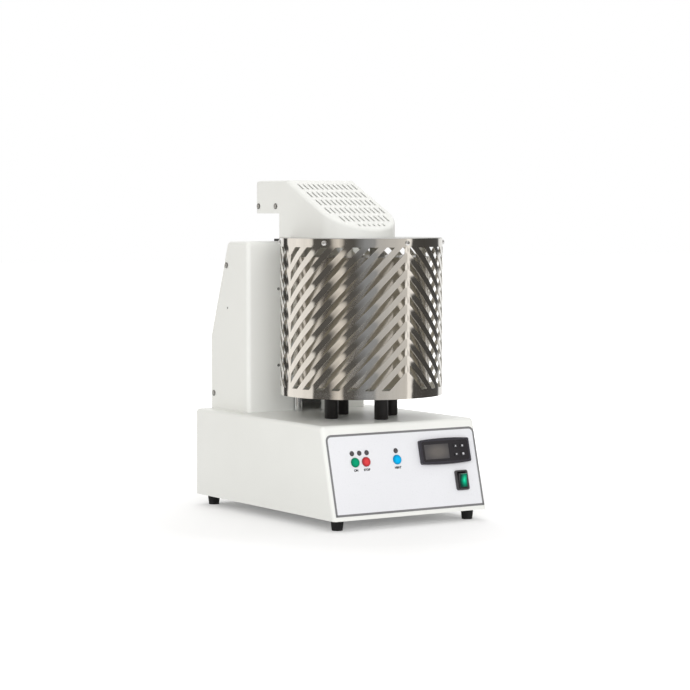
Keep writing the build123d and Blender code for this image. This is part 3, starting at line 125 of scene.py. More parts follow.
# Studio. Each screen has its turn in degrees from the front towards +X, its brightness and its warmth. Each lamp has
# its place, its size and its power.
WORLD_LIGHT = 0.63
WORLD_TINT = (1.0, 0.987, 0.945, 1)
LAMP_TINT = (0.995, 1.0, 1.04)
FLOOR_GLOW_NEAR = 0.19
FLOOR_MIRRORED = 0.45
FLOOR_GLOW_FAR = 0.8
FLOOR_GLOW = (0.25, 1.2)
FLOOR_SIZE = 12.0
SCREEN_R = 1.2
SCREEN_H = 3.0
SCREEN_TINT = (0.0, 0.09, 0.20)
SCREENS = (
    (-180, 0.90, 0.3), (-174, 0.90, 0.3), (-172, 0.06, 0.6), (-158.5, 0.06, 0.6), (-154.5, 1.02, 0.5),
    (-130, 1.00, 0.5), (-102, 0.88, 0.6), (-99, 0.11, 0.8), (-75, 0.10, 0.8), (-68, 0.60, 0.9),
    (-61, 0.80, 0.9), (-57, 0.62, 0.9), (-53.5, 0.12, 0.8), (-42, 0.10, 0.8), (-26, 0.29, -0.2),
    (-15.5, 0.32, 0.0), (-11, 0.52, 0.4), (10, 0.61, 0.5), (29.5, 0.68, 0.6), (31, 1.10, 0.5), (36.5, 1.00, 0.5),
    (39.5, 0.08, 0.6), (60, 0.065, 0.8), (98, 0.09, 0.2), (105, 0.95, 0.1), (180, 0.95, 0.1),
)
LAMPS = (
    ("key", (-1.2, -2.7, 0.9), 1.4, 33.0),
    ("left fill", (-2.3, -1.6, 1.2), 1.4, 15.0),
    ("right fill", (2.4, -0.5, 1.1), 1.4, 11.0),
    ("top", (0.2, 0.2, 2.6), 1.6, 7.0),
    ("back", (0.9, 1.8, 2.0), 1.4, 20.0),
)

# Camera: where it stood for the photograph, seen from the guard's axis at the casing's foot
AXIS_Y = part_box("guard_front")[0].y + GUARD_R
CASING_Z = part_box("base_shell")[0].z
CAMERA_AT = Vector((-1.5646, -2.3661, 0.3681))
CAMERA_AIM = Vector((-0.0169, 0.0110, 0.1994))
CAMERA_LENS = 120.0
CAMERA_SENSOR = 36.0
CAMERA_REACH = 50
LAMP_AIM = Vector((0, AXIS_Y, 0.2))


# Places on the sloping panel
panel_out = -Vector(next(j["axis"] for j in frame["joints"] if j["name"] == "press_green")).normalized()
panel_right = Vector((1, 0, 0))
panel_up = panel_out.cross(panel_right).normalized()


def middle(node):
    """The centre of a node's box."""
    low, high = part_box(node)
    return (low + high) / 2


foil_middle = middle("front_foil")
foil_size = (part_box("front_foil")[1].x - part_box("front_foil")[0].x, FOIL_H)


def panel_matrix(point, out=0.0, turn=0.0):
    """A frame on the panel at a point's place, moved out from the foil's face."""
    offset = (point - foil_middle).dot(panel_out)
    origin = point + panel_out * (FOIL_T + out - offset)
    axes = Matrix((panel_right, panel_up, panel_out)).transposed().to_4x4()
    return Matrix.Translation(origin) @ axes @ Matrix.Rotation(turn, 4, "Z")


# Node helpers
def shader(name):
    """A new material with an empty tree but for its Principled shader."""
    material = bpy.data.materials.new(name)
    material.use_nodes = True
    tree = material.node_tree
    surface = next(n for n in tree.nodes if n.type == "BSDF_PRINCIPLED")
    return material, tree, surface


def node(tree, kind, **settings):
    """Adds a shader node. Settings that name an input socket fill that socket."""
    made = tree.nodes.new(kind)
    for key, value in settings.items():
        label = key.replace("_", " ")
        if label in made.inputs:
            made.inputs[label].default_value = value
        else:
            setattr(made, key, value)
    return made


def object_space(tree, scale=(1, 1, 1), turn=(0, 0, 0), move=(0, 0, 0)):
    """Object coordinates, moved, turned and scaled."""
    source = node(tree, "ShaderNodeTexCoord")
    mapping = node(tree, "ShaderNodeMapping", Scale=scale, Rotation=turn, Location=move)
    tree.links.new(source.outputs["Object"], mapping.inputs["Vector"])
    return mapping.outputs["Vector"]


def seated_space(tree, place, reach):
    """Object coordinates as seen from a frame, where reach is the frame's half size on each axis."""
    source = node(tree, "ShaderNodeTexCoord")
    mapping = node(tree, "ShaderNodeMapping", vector_type="TEXTURE", Location=place.translation,
                   Rotation=place.to_euler(), Scale=reach)
    tree.links.new(source.outputs["Object"], mapping.inputs["Vector"])
    return mapping.outputs["Vector"]


def blob(tree, vector):
    """One at a vector's origin, falling to nothing at a distance of one."""
    made = node(tree, "ShaderNodeTexGradient", gradient_type="SPHERICAL")
    tree.links.new(vector, made.inputs["Vector"])
    return made.outputs["Fac"]


def combine(tree, operation, first, second):
    """Two values, or a value and a number, put together by a sum."""
    made = node(tree, "ShaderNodeMath", operation=operation)
    for socket, value in zip(made.inputs, (first, second)):
        if isinstance(value, bpy.types.NodeSocket):
            tree.links.new(value, socket)
        else:
            socket.default_value = value
    return made.outputs["Value"]


def noise(tree, vector, scale, detail=3.0, rough=0.5):
    """A noise field over a vector."""
    made = node(tree, "ShaderNodeTexNoise", Scale=scale, Detail=detail, Roughness=rough)
    tree.links.new(vector, made.inputs["Vector"])
    return made.outputs["Fac"]


def spread(tree, value, low, high, low_from=0.0, high_from=1.0):
    """A value stretched from one range to another."""
    made = node(tree, "ShaderNodeMapRange")
    made.inputs["From Min"].default_value = low_from
    made.inputs["From Max"].default_value = high_from
    made.inputs["To Min"].default_value = low
    made.inputs["To Max"].default_value = high
    tree.links.new(value, made.inputs["Value"])
    return made.outputs["Result"]


def blend_colours(tree, factor, first, second):
    """A colour between two, by a factor."""
    made = node(tree, "ShaderNodeMix", data_type="RGBA")
    made.inputs["A"].default_value = (*first, 1)
    made.inputs["B"].default_value = (*second, 1)
    tree.links.new(factor, made.inputs["Factor"])
    return made.outputs["Result"]


def bump(tree, surface, height, strength, distance):
    """Raises the surface by a height field."""
    made = node(tree, "ShaderNodeBump", Strength=strength, Distance=distance)
    tree.links.new(height, made.inputs["Height"])
    tree.links.new(made.outputs["Normal"], surface.inputs["Normal"])


def coated(name, low, high, rough, grain, depth, gloss=0.5):
    """Paint or moulded plastic: a fine grain, and a slight drift of colour and roughness."""
    material, tree, surface = shader(name)
    space = object_space(tree)
    drift = noise(tree, space, 9.0)
    fine = noise(tree, space, grain, 2.0)
    colour = blend_colours(tree, spread(tree, drift, 0, 1, 0.3, 0.7), low, high)
    tree.links.new(colour, surface.inputs["Base Color"])
    tree.links.new(spread(tree, fine, rough * 0.88, rough * 1.12, 0.3, 0.7), surface.inputs["Roughness"])
    surface.inputs["Specular IOR Level"].default_value = gloss
    bump(tree, surface, fine, 0.35, depth)
    return material


def brushed(name, low, high, rough, along, depth=0.00001):
    """Metal with fine drawn lines. Along is the stretch of the lines on each axis."""
    material, tree, surface = shader(name)
    lines = noise(tree, object_space(tree, scale=along), 60.0, 4.0, 0.6)
    cloud = noise(tree, object_space(tree), 14.0, 2.0)
    colour = blend_colours(tree, spread(tree, lines, 0, 1, 0.3, 0.7), low, high)
    tree.links.new(colour, surface.inputs["Base Color"])
    surface.inputs["Metallic"].default_value = 1.0
    drawn = spread(tree, lines, rough * 0.8, rough * 1.1, 0.3, 0.7)
    smudge = spread(tree, cloud, 0, rough * 0.2, 0.35, 0.65)
    tree.links.new(combine(tree, "ADD", drawn, smudge), surface.inputs["Roughness"])
    bump(tree, surface, lines, 0.2, depth)
    return material


def dish_strips(material):
    """Dishes each slanting strip between the guard's slots a hair, as punching leaves it."""
    tree = material.node_tree
    surface = next(n for n in tree.nodes if n.type == "BSDF_PRINCIPLED")
    parts = node(tree, "ShaderNodeSeparateXYZ")
    tree.links.new(object_space(tree, move=(0, -AXIS_Y, 0)), parts.inputs["Vector"])
    forward = combine(tree, "MULTIPLY", parts.outputs["Y"], -1.0)
    turn = combine(tree, "ABSOLUTE", combine(tree, "ARCTAN2", parts.outputs["X"], forward), 0.0)
    from_seam = combine(tree, "ABSOLUTE", combine(tree, "SUBTRACT", turn, SIDE_SEAM), 0.0)
    fall = combine(tree, "MULTIPLY", combine(tree, "SUBTRACT", SIDE_SEAM, from_seam), GUARD_R)
    height = combine(tree, "ADD", parts.outputs["Z"], fall)
    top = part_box("guard_front")[1].z
    first = top - STRIP_DROP + SPINE_FRONT * GUARD_R
    wave = combine(tree, "MULTIPLY", combine(tree, "SUBTRACT", height, first), 2 * pi / STRIP_PITCH)
    dish = combine(tree, "MULTIPLY", combine(tree, "COSINE", wave, 0.0), -STRIP_DISH)
    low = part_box("guard_front")[0].z
    below = spread(tree, parts.outputs["Z"], 1, 0, top - STRIP_PITCH * 0.6, top - STRIP_PITCH * 0.35)
    above = spread(tree, parts.outputs["Z"], 0, 1, low + STRIP_PITCH * 0.8, low + STRIP_PITCH * 1.4)
    dish = combine(tree, "MULTIPLY", combine(tree, "MULTIPLY", dish, below), above)
    wavy = noise(tree, object_space(tree, scale=(1, 1, 1.6)), 34.0, 1.0)
    swell = combine(tree, "ADD", dish, combine(tree, "MULTIPLY", wavy, RIPPLE))
    made = node(tree, "ShaderNodeBump", Strength=1.0, Distance=1.0)
    tree.links.new(swell, made.inputs["Height"])
    tree.links.new(made.outputs["Normal"], surface.inputs["Normal"].links[0].from_node.inputs["Normal"])


# Finishes. Coated: two colours, roughness, grain, its depth and the gloss. Brushed: two colours, roughness and stretch.
powder_coat = coated("powder coat", (0.795, 0.80, 0.765), (0.82, 0.825, 0.79), 0.33, 1900.0, 0.00005)
printed_foil = coated("printed foil", (0.752, 0.757, 0.78), (0.772, 0.777, 0.80), 0.3, 700.0, 0.00001)
print_grey = coated("grey print", (0.17, 0.17, 0.175), (0.20, 0.20, 0.205), 0.35, 900.0, 0.00001)
print_dark = coated("dark print", (0.012, 0.012, 0.014), (0.020, 0.020, 0.022), 0.4, 900.0, 0.00001, 0.2)
print_white = coated("white print", (0.48, 0.48, 0.50), (0.56, 0.56, 0.58), 0.4, 900.0, 0.00001)
foot_rubber = coated("foot rubber", (0.010, 0.010, 0.011), (0.020, 0.020, 0.021), 0.75, 1200.0, 0.00008, 0.3)
moulded_black = coated("moulded black", (0.012, 0.012, 0.013), (0.022, 0.022, 0.024), 0.38, 1500.0, 0.00003)
anthracite = coated("anthracite case", (0.022, 0.0201, 0.027), (0.0317, 0.0295, 0.0378), 0.36, 1500.0, 0.00003, 0.4)
key_rubber = coated("key rubber", (0.020, 0.019, 0.022), (0.028, 0.027, 0.030), 0.5, 1200.0, 0.00003, 0.35)
switch_black = coated("switch frame", (0.045, 0.042, 0.045), (0.060, 0.057, 0.060), 0.42, 1500.0, 0.00003)
film_black = coated("gloss black film", (0.0077, 0.0065, 0.0096), (0.0132, 0.0119, 0.0156), 0.22, 900.0, 0.00001, 0.4)
# Painted highlight: a paler green for the lens's upturned top bevel, where light catches it.
painted_lens_highlight = coated("painted lens highlight", (0.20, 0.55, 0.42), (0.30, 0.66, 0.52), 0.25, 900.0, 0.00001)
lens_smoke = coated("smoked lens", (0.045, 0.040, 0.045), (0.075, 0.070, 0.075), 0.2, 500.0, 0.00001)
satin_black = coated("satin black", (0.0064, 0.0053, 0.0053), (0.0112, 0.0097, 0.0097), 0.42, 1600.0, 0.00003, 0.35)
board_mask = coated("board mask", (0.01, 0.12, 0.05), (0.015, 0.17, 0.07), 0.35, 300.0, 0.00003)
nylon = coated("nylon", (0.72, 0.71, 0.66), (0.78, 0.77, 0.72), 0.5, 700.0, 0.00003)
relay_grey = coated("relay grey", (0.25, 0.26, 0.26), (0.30, 0.31, 0.31), 0.45, 900.0, 0.00003)
ceramic = coated("fired ceramic", (0.66, 0.62, 0.54), (0.78, 0.75, 0.68), 0.8, 400.0, 0.0002, 0.3)
fibre = coated("pressed fibre", (0.74, 0.73, 0.69), (0.82, 0.81, 0.78), 0.95, 260.0, 0.0005, 0.2)
guard_steel = brushed("guard steel", (0.74, 0.725, 0.69), (0.82, 0.805, 0.77), 0.07, (1, 1, 0.04))
# The guard's inner faces: a pale warm colour that paints the light the steel mirrors inside the guard, in place of
# bright metal.
guard_inner_painted_light = coated("painted light inside the guard", (0.80, 0.77, 0.68), (0.88, 0.85, 0.76), 0.42, 500.0, 0.00001, 0.9)
heater_steel = brushed("heater steel", (0.62, 0.59, 0.54), (0.74, 0.71, 0.66), 0.2, (1, 1, 0.03))
zinc = brushed("zinc plate", (0.68, 0.68, 0.66), (0.76, 0.76, 0.74), 0.38, (1, 1, 1))
plain_steel = brushed("plain steel", (0.48, 0.48, 0.47), (0.60, 0.60, 0.58), 0.3, (1, 1, 0.1))
screw_steel = brushed("screw steel", (0.66, 0.66, 0.64), (0.76, 0.76, 0.74), 0.34, (1, 1, 1))
# Dark steel: the rivets' own colour, and painted shade round the rims of the screw heads.
rivet_steel_and_rim_shade = brushed("rivet steel and painted screw-rim shade", (0.20, 0.20, 0.19), (0.27, 0.27, 0.26), 0.36, (1, 1, 1))
bright_screw = brushed("bright screw", (0.84, 0.84, 0.83), (0.90, 0.90, 0.89), 0.42, (1, 1, 1))
chromed = brushed("hard chrome", (0.74, 0.75, 0.76), (0.80, 0.81, 0.82), 0.09, (1, 1, 0.02), 0.000002)
alloy = brushed("machined alloy", (0.62, 0.62, 0.63), (0.72, 0.72, 0.73), 0.34, (1, 0.1, 1))
bronze = brushed("nut bronze", (0.56, 0.36, 0.15), (0.68, 0.46, 0.22), 0.3, (1, 1, 0.2))


dish_strips(guard_steel)


def button_cap(colour, rim, face):
    """A moulded cap in one colour, with painted shade darkening it towards its rim."""
    material, tree, surface = shader(f"{colour} cap")
    cap_lit_centre = blob(tree, seated_space(tree, panel_matrix(middle(f"button_{colour}")), (CAP_R, CAP_R, 0.02)))
    fine = noise(tree, object_space(tree), 900.0, 2.0)
    # Painted shade: the colour falls from the face's to the darker rim's towards the cap's edge.
    tree.links.new(blend_colours(tree, spread(tree, cap_lit_centre, 0, 1, 0.04, 0.7), rim, face), surface.inputs["Base Color"])
    tree.links.new(spread(tree, fine, 0.38, 0.46, 0.3, 0.7), surface.inputs["Roughness"])
    surface.inputs["Specular IOR Level"].default_value = 0.12
    bump(tree, surface, fine, 0.3, 0.00001)
    return material


def display_pane():
    """The display's dark window, a shade greener and paler towards its middle."""
    material, tree, surface = shader("display pane")
    low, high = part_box("controller_window")
    reach = ((high.x - low.x) / 2, WINDOW_H / 2, 0.02)
    glow = blob(tree, seated_space(tree, panel_matrix(middle("controller_window")), reach))
    cloud = noise(tree, object_space(tree), 60.0, 2.0)
    base = blend_colours(tree, spread(tree, glow, 0, 1, 0.0, 0.6), (0.055, 0.052, 0.056), (0.115, 0.105, 0.098))
    tinted = node(tree, "ShaderNodeMix", data_type="RGBA", blend_type="MULTIPLY")
    tinted.inputs["Factor"].default_value = 1.0
    tree.links.new(base, tinted.inputs["A"])
    tree.links.new(blend_colours(tree, cloud, (0.86, 0.88, 0.84), (1.0, 0.98, 1.0)), tinted.inputs["B"])
    tree.links.new(tinted.outputs["Result"], surface.inputs["Base Color"])
    tree.links.new(spread(tree, cloud, 0.13, 0.19, 0.3, 0.7), surface.inputs["Roughness"])
    return material


def green_lens():
    """The rocker's green window: painted shade darkens its left, and a painted glow brightens it over the lamp behind
    it.
    """
    material, tree, surface = shader("green lens")
    lamp_x = LENS_LEFT + 0.62 * (LENS_RIGHT - LENS_LEFT)
    seat = panel_matrix(Vector((lamp_x, middle("switch_rocker").y, middle("switch_rocker").z)))
    lamp = blob(tree, seated_space(tree, seat, ((LENS_RIGHT - LENS_LEFT) * 0.6, LENS_HALF * 1.35, 0.03)))
    # The ramp runs from painted shade at the lens's left to the lamp's painted glow at its brightest, all in the base
    # colour.
    ramp = node(tree, "ShaderNodeValToRGB")
    ramp.color_ramp.elements[0].color = (0.0, 0.05, 0.034, 1)
    ramp.color_ramp.elements[1].color = (0.03, 0.80, 0.42, 1)
    for share, colour in ((0.25, (0.0, 0.12, 0.07)), (0.5, (0.0, 0.26, 0.14)), (0.7, (0.0, 0.5, 0.26))):
        ramp.color_ramp.elements.new(share).color = (*colour, 1)
    tree.links.new(lamp, ramp.inputs["Fac"])
    tree.links.new(ramp.outputs["Color"], surface.inputs["Base Color"])
    ribs = node(tree, "ShaderNodeTexWave", Scale=LENS_RIBS, wave_type="BANDS", bands_direction="Y")
    tree.links.new(seated_space(tree, seat, (1, 1, 1)), ribs.inputs["Vector"])
    bump(tree, surface, ribs.outputs["Fac"], 0.25, 0.00008)
    surface.inputs["Roughness"].default_value = 0.2
    surface.inputs["Specular IOR Level"].default_value = 0.15
    return material


finishes = {
    powder_coat: ("base_shell", "base_floor", "rear_panel", "column_shell", "column_cover", "hood_shell",
                  "back_plate"),
    printed_foil: ("front_foil",),
    foot_rubber: ("feet",),
    moulded_black: ("switch_rocker", "fuse_holder", "power_inlet", "mast_bush", "guide_bushes"),
    switch_black: ("switch_frame",),
    anthracite: ("controller_case",),
    key_rubber: tuple(f"controller_key_{k}" for k in (1, 2, 3, 4)),
    display_pane(): ("controller_window",),
    # Each cap's first colour is the painted shade at its rim, its second the colour of its face.
    button_cap("green", (0.0, 0.13, 0.07), (0.0, 0.33, 0.16)): ("button_green",),
    button_cap("red", (0.25, 0.022, 0.030), (0.68, 0.055, 0.060)): ("button_red",),
    button_cap("blue", (0.0, 0.21, 0.40), (0.0, 0.45, 0.85)): ("button_blue",),
    lens_smoke: ("led_lenses",),
    satin_black: ("post_front", "post_rear", "post_left", "post_right", "table_plate", "lift_motor"),
    board_mask: ("button_board", "control_board"),
    nylon: ("board_spacers",),
    relay_grey: ("relay_module",),
    ceramic: ("muffle", "table_pad", "heater_spacers"),
    fibre: ("insulation",),
    guard_steel: ("guard_front", "guard_rear"),
    heater_steel: ("heater_casing",),
    plain_steel: ("heater_bottom", "thermocouple", "lead_screw"),
    zinc: ("head_plate", "rod_bracket"),
    screw_steel: ("foot_screws", "casing_screws", "arm_screws"),
    bright_screw: ("guard_screws",),
    chromed: ("guide_rod_left", "guide_rod_right", "mast"),
    alloy: ("carriage", "arm_floor", "mast_clamp"),
    bronze: ("lift_nut",),
}
for material, names in finishes.items():
    for name in names:
        mesh = nodes[name].data
        mesh.materials.clear()
        mesh.materials.append(material)


# Making pieces
def finish_piece(work, name, material, body, smooth=None):
    """Turns a bmesh into a piece that rides on a body."""
    mesh = bpy.data.meshes.new(name)
    work.to_mesh(mesh)
    work.free()
    piece = bpy.data.objects.new(name, mesh)
    bpy.context.scene.collection.objects.link(piece)
    mesh.materials.append(material)
    if smooth is not None:
        mesh.shade_smooth()
        mesh.set_sharp_from_angle(angle=radians(smooth))
    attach(piece, body)
    return piece


def rounded_panel(width, height, top_r, low_r):
    """A flat rectangle on the local XY plane with rounded corners."""
    work = bmesh.new()
    bmesh.ops.create_grid(work, x_segments=1, y_segments=1, size=0.5)
    bmesh.ops.scale(work, vec=(width, height, 1), verts=work.verts)
    for radius, side in ((top_r, 1), (low_r, -1)):
        corners = [v for v in work.verts if v.co.y * side > 0 and abs(abs(v.co.x) - width / 2) < 1e-7
                   and abs(abs(v.co.y) - height / 2) < 1e-7]
        bmesh.ops.bevel(work, geom=corners, affect="VERTICES", offset=radius, offset_type="OFFSET",
                        segments=CORNER_STEPS, profile=0.5, material=-1)
    return work


def raised(work, faces, height, out):
    """Draws faces out along a direction and gives back the new points."""
    made = bmesh.ops.extrude_face_region(work, geom=faces)
    new = [v for v in made["geom"] if isinstance(v, bmesh.types.BMVert)]
    bmesh.ops.translate(work, vec=out * height, verts=new)
    return new


def merged(name):
    """A bmesh of a node's mesh, with the points that share a place joined."""
    work = bmesh.new()
    work.from_mesh(nodes[name].data)
    bmesh.ops.remove_doubles(work, verts=work.verts, dist=MERGE)
    return work


def foil_outline():
    """The grey line printed round the control foil."""
    work = rounded_panel(*foil_size, FOIL_CORNER_R, FOIL_LOW_R)
    inner = list(work.faces)
    bmesh.ops.inset_region(work, faces=inner, thickness=FOIL_LINE_W, use_even_offset=True, use_boundary=True)
    bmesh.ops.delete(work, geom=inner, context="FACES")
    raised(work, list(work.faces), FOIL_LINE_T, Vector((0, 0, 1)))
    bmesh.ops.recalc_face_normals(work, faces=work.faces)
    work.transform(panel_matrix(foil_middle))
    finish_piece(work, "foil_outline", print_grey, "base")


def lettering(name, words, height, place, material, body):
    """Generic words printed flat on a surface."""
    curve = bpy.data.curves.new(name, "FONT")
    curve.body = words
    curve.size = height / 0.7
    curve.align_x = "CENTER"
    curve.align_y = "CENTER"
    curve.extrude = LETTER_T
    curve.offset = LABEL_WEIGHT
    holder = bpy.data.objects.new(name, curve)
    mesh = bpy.data.meshes.new_from_object(holder)
    bpy.data.objects.remove(holder)
    work = bmesh.new()
    work.from_mesh(mesh)
    bpy.data.meshes.remove(mesh)
    work.transform(place)
    finish_piece(work, name, material, body)


def button_labels():
    """The words under the three push buttons."""
    for colour, words in (("green", "ON"), ("red", "STOP"), ("blue", "HEAT")):
        place = middle(f"button_{colour}") - panel_up * LABEL_DROP
        lettering(f"label_{colour}", words, LABEL_H, panel_matrix(place), print_dark, "base")


# Screws
def loose_parts(name):
    """The separate solids of a node, each as its lowest and highest corner."""
    work = merged(name)
    left = set(work.verts)
    found = []
    while left:
        grown = [left.pop()]
        seen = set(grown)
        while grown:
            vert = grown.pop()
            for edge in vert.link_edges:
                other = edge.other_vert(vert)
                if other not in seen:
                    seen.add(other)
                    left.discard(other)
                    grown.append(other)
        low = Vector([min(v.co[i] for v in seen) for i in range(3)])
        high = Vector([max(v.co[i] for v in seen) for i in range(3)])
        found.append((low, high))
    work.free()
    return found


def screw_form(work, place, radius, head_h):
    """Adds one round-head screw with a six-sided socket. Its head stands on the local XY plane."""
    made = bmesh.ops.create_circle(work, cap_ends=True, segments=24, radius=radius)
    verts = list(made["verts"])
    ring = [f for f in work.faces if all(v in set(verts) for v in f.verts)]
    reach = radius
    height = 0.0
    for share, up in HEAD_STEPS:
        lifted = bmesh.ops.extrude_face_region(work, geom=ring)
        new = [v for v in lifted["geom"] if isinstance(v, bmesh.types.BMVert)]
        bmesh.ops.translate(work, vec=(0, 0, head_h * up - height), verts=new)
        bmesh.ops.scale(work, vec=(radius * share / reach, radius * share / reach, 1), verts=new)
        bmesh.ops.delete(work, geom=[f for f in ring if f.is_valid], context="FACES_ONLY")
        ring = [f for f in lifted["geom"] if isinstance(f, bmesh.types.BMFace)]
        reach, height = radius * share, head_h * up
        verts += new
    mouth = list(ring[0].edges)
    bmesh.ops.delete(work, geom=ring, context="FACES_ONLY")
    socket_r = min(SCREW_SOCKET_R, radius * SCREW_SOCKET_SHARE)
    socket = bmesh.ops.create_circle(work, cap_ends=False, segments=6, radius=socket_r)["verts"]
    bmesh.ops.translate(work, vec=(0, 0, head_h), verts=socket)
    lip = list({e for v in socket for e in v.link_edges})
    bmesh.ops.bridge_loops(work, edges=mouth + lip)
    sunk = bmesh.ops.extrude_edge_only(work, edges=lip)
    deep = [v for v in sunk["geom"] if isinstance(v, bmesh.types.BMVert)]
    bmesh.ops.translate(work, vec=(0, 0, -SCREW_SOCKET_DEPTH), verts=deep)
    bmesh.ops.contextual_create(work, geom=deep)
    verts += socket + deep
    shank = bmesh.ops.create_cone(work, cap_ends=True, segments=16, radius1=SCREW_SHANK_R,
                                  radius2=SCREW_SHANK_R, depth=SCREW_SHANK_L)["verts"]
    bmesh.ops.translate(work, vec=(0, 0, -SCREW_SHANK_L / 2), verts=shank)
    verts += shank
    # Faces of the head outside its flat middle take the rim's material, which paints the shade round the head where it
    # is darker.
    for face in {f for v in verts for f in v.link_faces}:
        centre = face.calc_center_median()
        if centre.z > 0 and centre.xy.length > radius * SCREW_FACE:
            face.material_index = 1
    bmesh.ops.transform(work, matrix=place, verts=list(set(verts)), space=Matrix.Identity(4))


def facing(point, out):
    """A frame at a point, with its Z along out."""
    return Matrix.Translation(point) @ Vector(out).to_track_quat("Z", "Y").to_matrix().to_4x4()


def screw_group(name, body, outward, head, face, rim, front_head=None):
    """Round-head screws in place of a node's plain ones. Those that face forward may have a head of their own. Where
    the rim's material is darker than the face's, it paints the shade round each head.
    """
    work = bmesh.new()
    for low, high in loose_parts(name):
        centre = (low + high) / 2
        out = Vector(outward(centre)).normalized()
        seat = centre + out * (SCREW_SHANK_L - NODE_HEAD_H) / 2
        screw_form(work, facing(seat, out), *(front_head if front_head and out.y < -0.9 else head))
    bmesh.ops.recalc_face_normals(work, faces=work.faces)
    piece = finish_piece(work, f"{name}_socket_head", face, body, smooth=40)
    piece.data.materials.append(rim)
    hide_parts(name)


column_low, column_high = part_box("column_shell")


def casing_out(centre):
    """Which way a casing screw faces: the sides, the column's front or the rear panel."""
    if centre.z < column_low.z:
        return (0, 1, 0)
    if centre.y < column_low.y + FRONT_DEPTH:
        return (0, -1, 0)
    return (1 if centre.x > 0 else -1, 0, 0)


def all_screws():
    """Every visible screw."""
    screw_group("guard_screws", "head", lambda c: (c.x, c.y - AXIS_Y, 0), GUARD_HEAD, bright_screw, bright_screw)
    screw_group("arm_screws", "head", lambda c: (c.x, 0, 0), CASING_HEAD, screw_steel, rivet_steel_and_rim_shade)
    screw_group("casing_screws", "base", casing_out, CASING_HEAD, screw_steel, rivet_steel_and_rim_shade, FRONT_HEAD)


def column_rivets():
    """A small domed rivet in each side of the column."""
    work = bmesh.new()
    for side in (-1, 1):
        made = bmesh.ops.create_uvsphere(work, u_segments=20, v_segments=10, radius=RIVET_R)["verts"]
        bmesh.ops.scale(work, vec=(1, 1, RIVET_H / RIVET_R), verts=made)
        place = facing(Vector((side * column_high.x, *RIVET_PLACE)), (side, 0, 0))
        bmesh.ops.transform(work, matrix=place, verts=made, space=Matrix.Identity(4))
    finish_piece(work, "column_rivets", rivet_steel_and_rim_shade, "base", smooth=60)


# Guard and heater
def rolled_guard(name):
    """A smooth copy of a guard half, with normals that stand square to the rolled sheet."""
    piece = finish_piece(merged(name), f"{name}_rolled", guard_steel, "head")
    mesh = piece.data
    mesh.materials.append(guard_inner_painted_light)
    mesh.shade_smooth()
    normals = []
    for face in mesh.polygons:
        flat = Vector((face.center.x, face.center.y - AXIS_Y, 0)).normalized()
        side = face.normal.dot(flat)
        # Faces turned towards the axis take the second material, whose pale colour paints the light reflected inside
        # the guard.
        face.material_index = 1 if side < -SHEET_SIDE else 0
        for corner in face.vertices:
            place = mesh.vertices[corner].co
            if abs(side) > SHEET_SIDE:
                out = Vector((place.x, place.y - AXIS_Y, 0)).normalized()
                normals.append(out if side > 0 else -out)
            else:
                normals.append(face.normal.copy())
    mesh.normals_split_custom_set(normals)
    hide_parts(name)


def heater_skirt():
    """A low steel rim under the heater's drum, which closes the view below it."""
    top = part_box("heater_bottom")[0].z
    work = bmesh.new()
    for radius in (SKIRT_R, SKIRT_R - SKIRT_T):
        bmesh.ops.create_circle(work, cap_ends=False, segments=96, radius=radius)
    bmesh.ops.bridge_loops(work, edges=list(work.edges))
    bmesh.ops.translate(work, vec=(0, AXIS_Y, top), verts=work.verts)
    raised(work, list(work.faces), SKIRT_DROP, Vector((0, 0, -1)))
    bmesh.ops.recalc_face_normals(work, faces=work.faces)
    finish_piece(work, "heater_skirt", plain_steel, "head", smooth=40)


# Controller and switch
def key_marks():
    """Small white signs on the controller's four keys."""
    for number, sides, turn in KEY_SIGNS:
        work = bmesh.new()
        bmesh.ops.create_circle(work, cap_ends=True, segments=sides, radius=KEY_MARK_R)
        raised(work, list(work.faces), LETTER_T, Vector((0, 0, 1)))
        bmesh.ops.recalc_face_normals(work, faces=work.faces)
        work.transform(panel_matrix(middle(f"controller_key_{number}"), KEY_FACE, turn))
        finish_piece(work, f"key_mark_{number}", print_white, f"key_{number}")


def face_film():
    """The black film on the controller's face, open over the display."""
    work = rounded_panel(*FILM_SIZE, FILM_CORNER_R, FILM_CORNER_R)
    opening = rounded_panel(*FILM_OPENING, OPENING_CORNER_R, OPENING_CORNER_R)
    bmesh.ops.translate(work, vec=(*FILM_PLACE, 0), verts=work.verts)
    bmesh.ops.translate(opening, vec=(*OPENING_PLACE, 0), verts=opening.verts)
    sheet = bpy.data.meshes.new("opening")
    opening.to_mesh(sheet)
    opening.free()
    work.from_mesh(sheet)
    bpy.data.meshes.remove(sheet)
    bmesh.ops.delete(work, geom=list(work.faces), context="FACES_ONLY")
    bmesh.ops.bridge_loops(work, edges=list(work.edges))
    raised(work, list(work.faces), FILM_T, Vector((0, 0, 1)))
    bmesh.ops.recalc_face_normals(work, faces=work.faces)
    work.transform(panel_matrix(foil_middle, FILM_UP))
    finish_piece(work, "controller_film", film_black, "base")


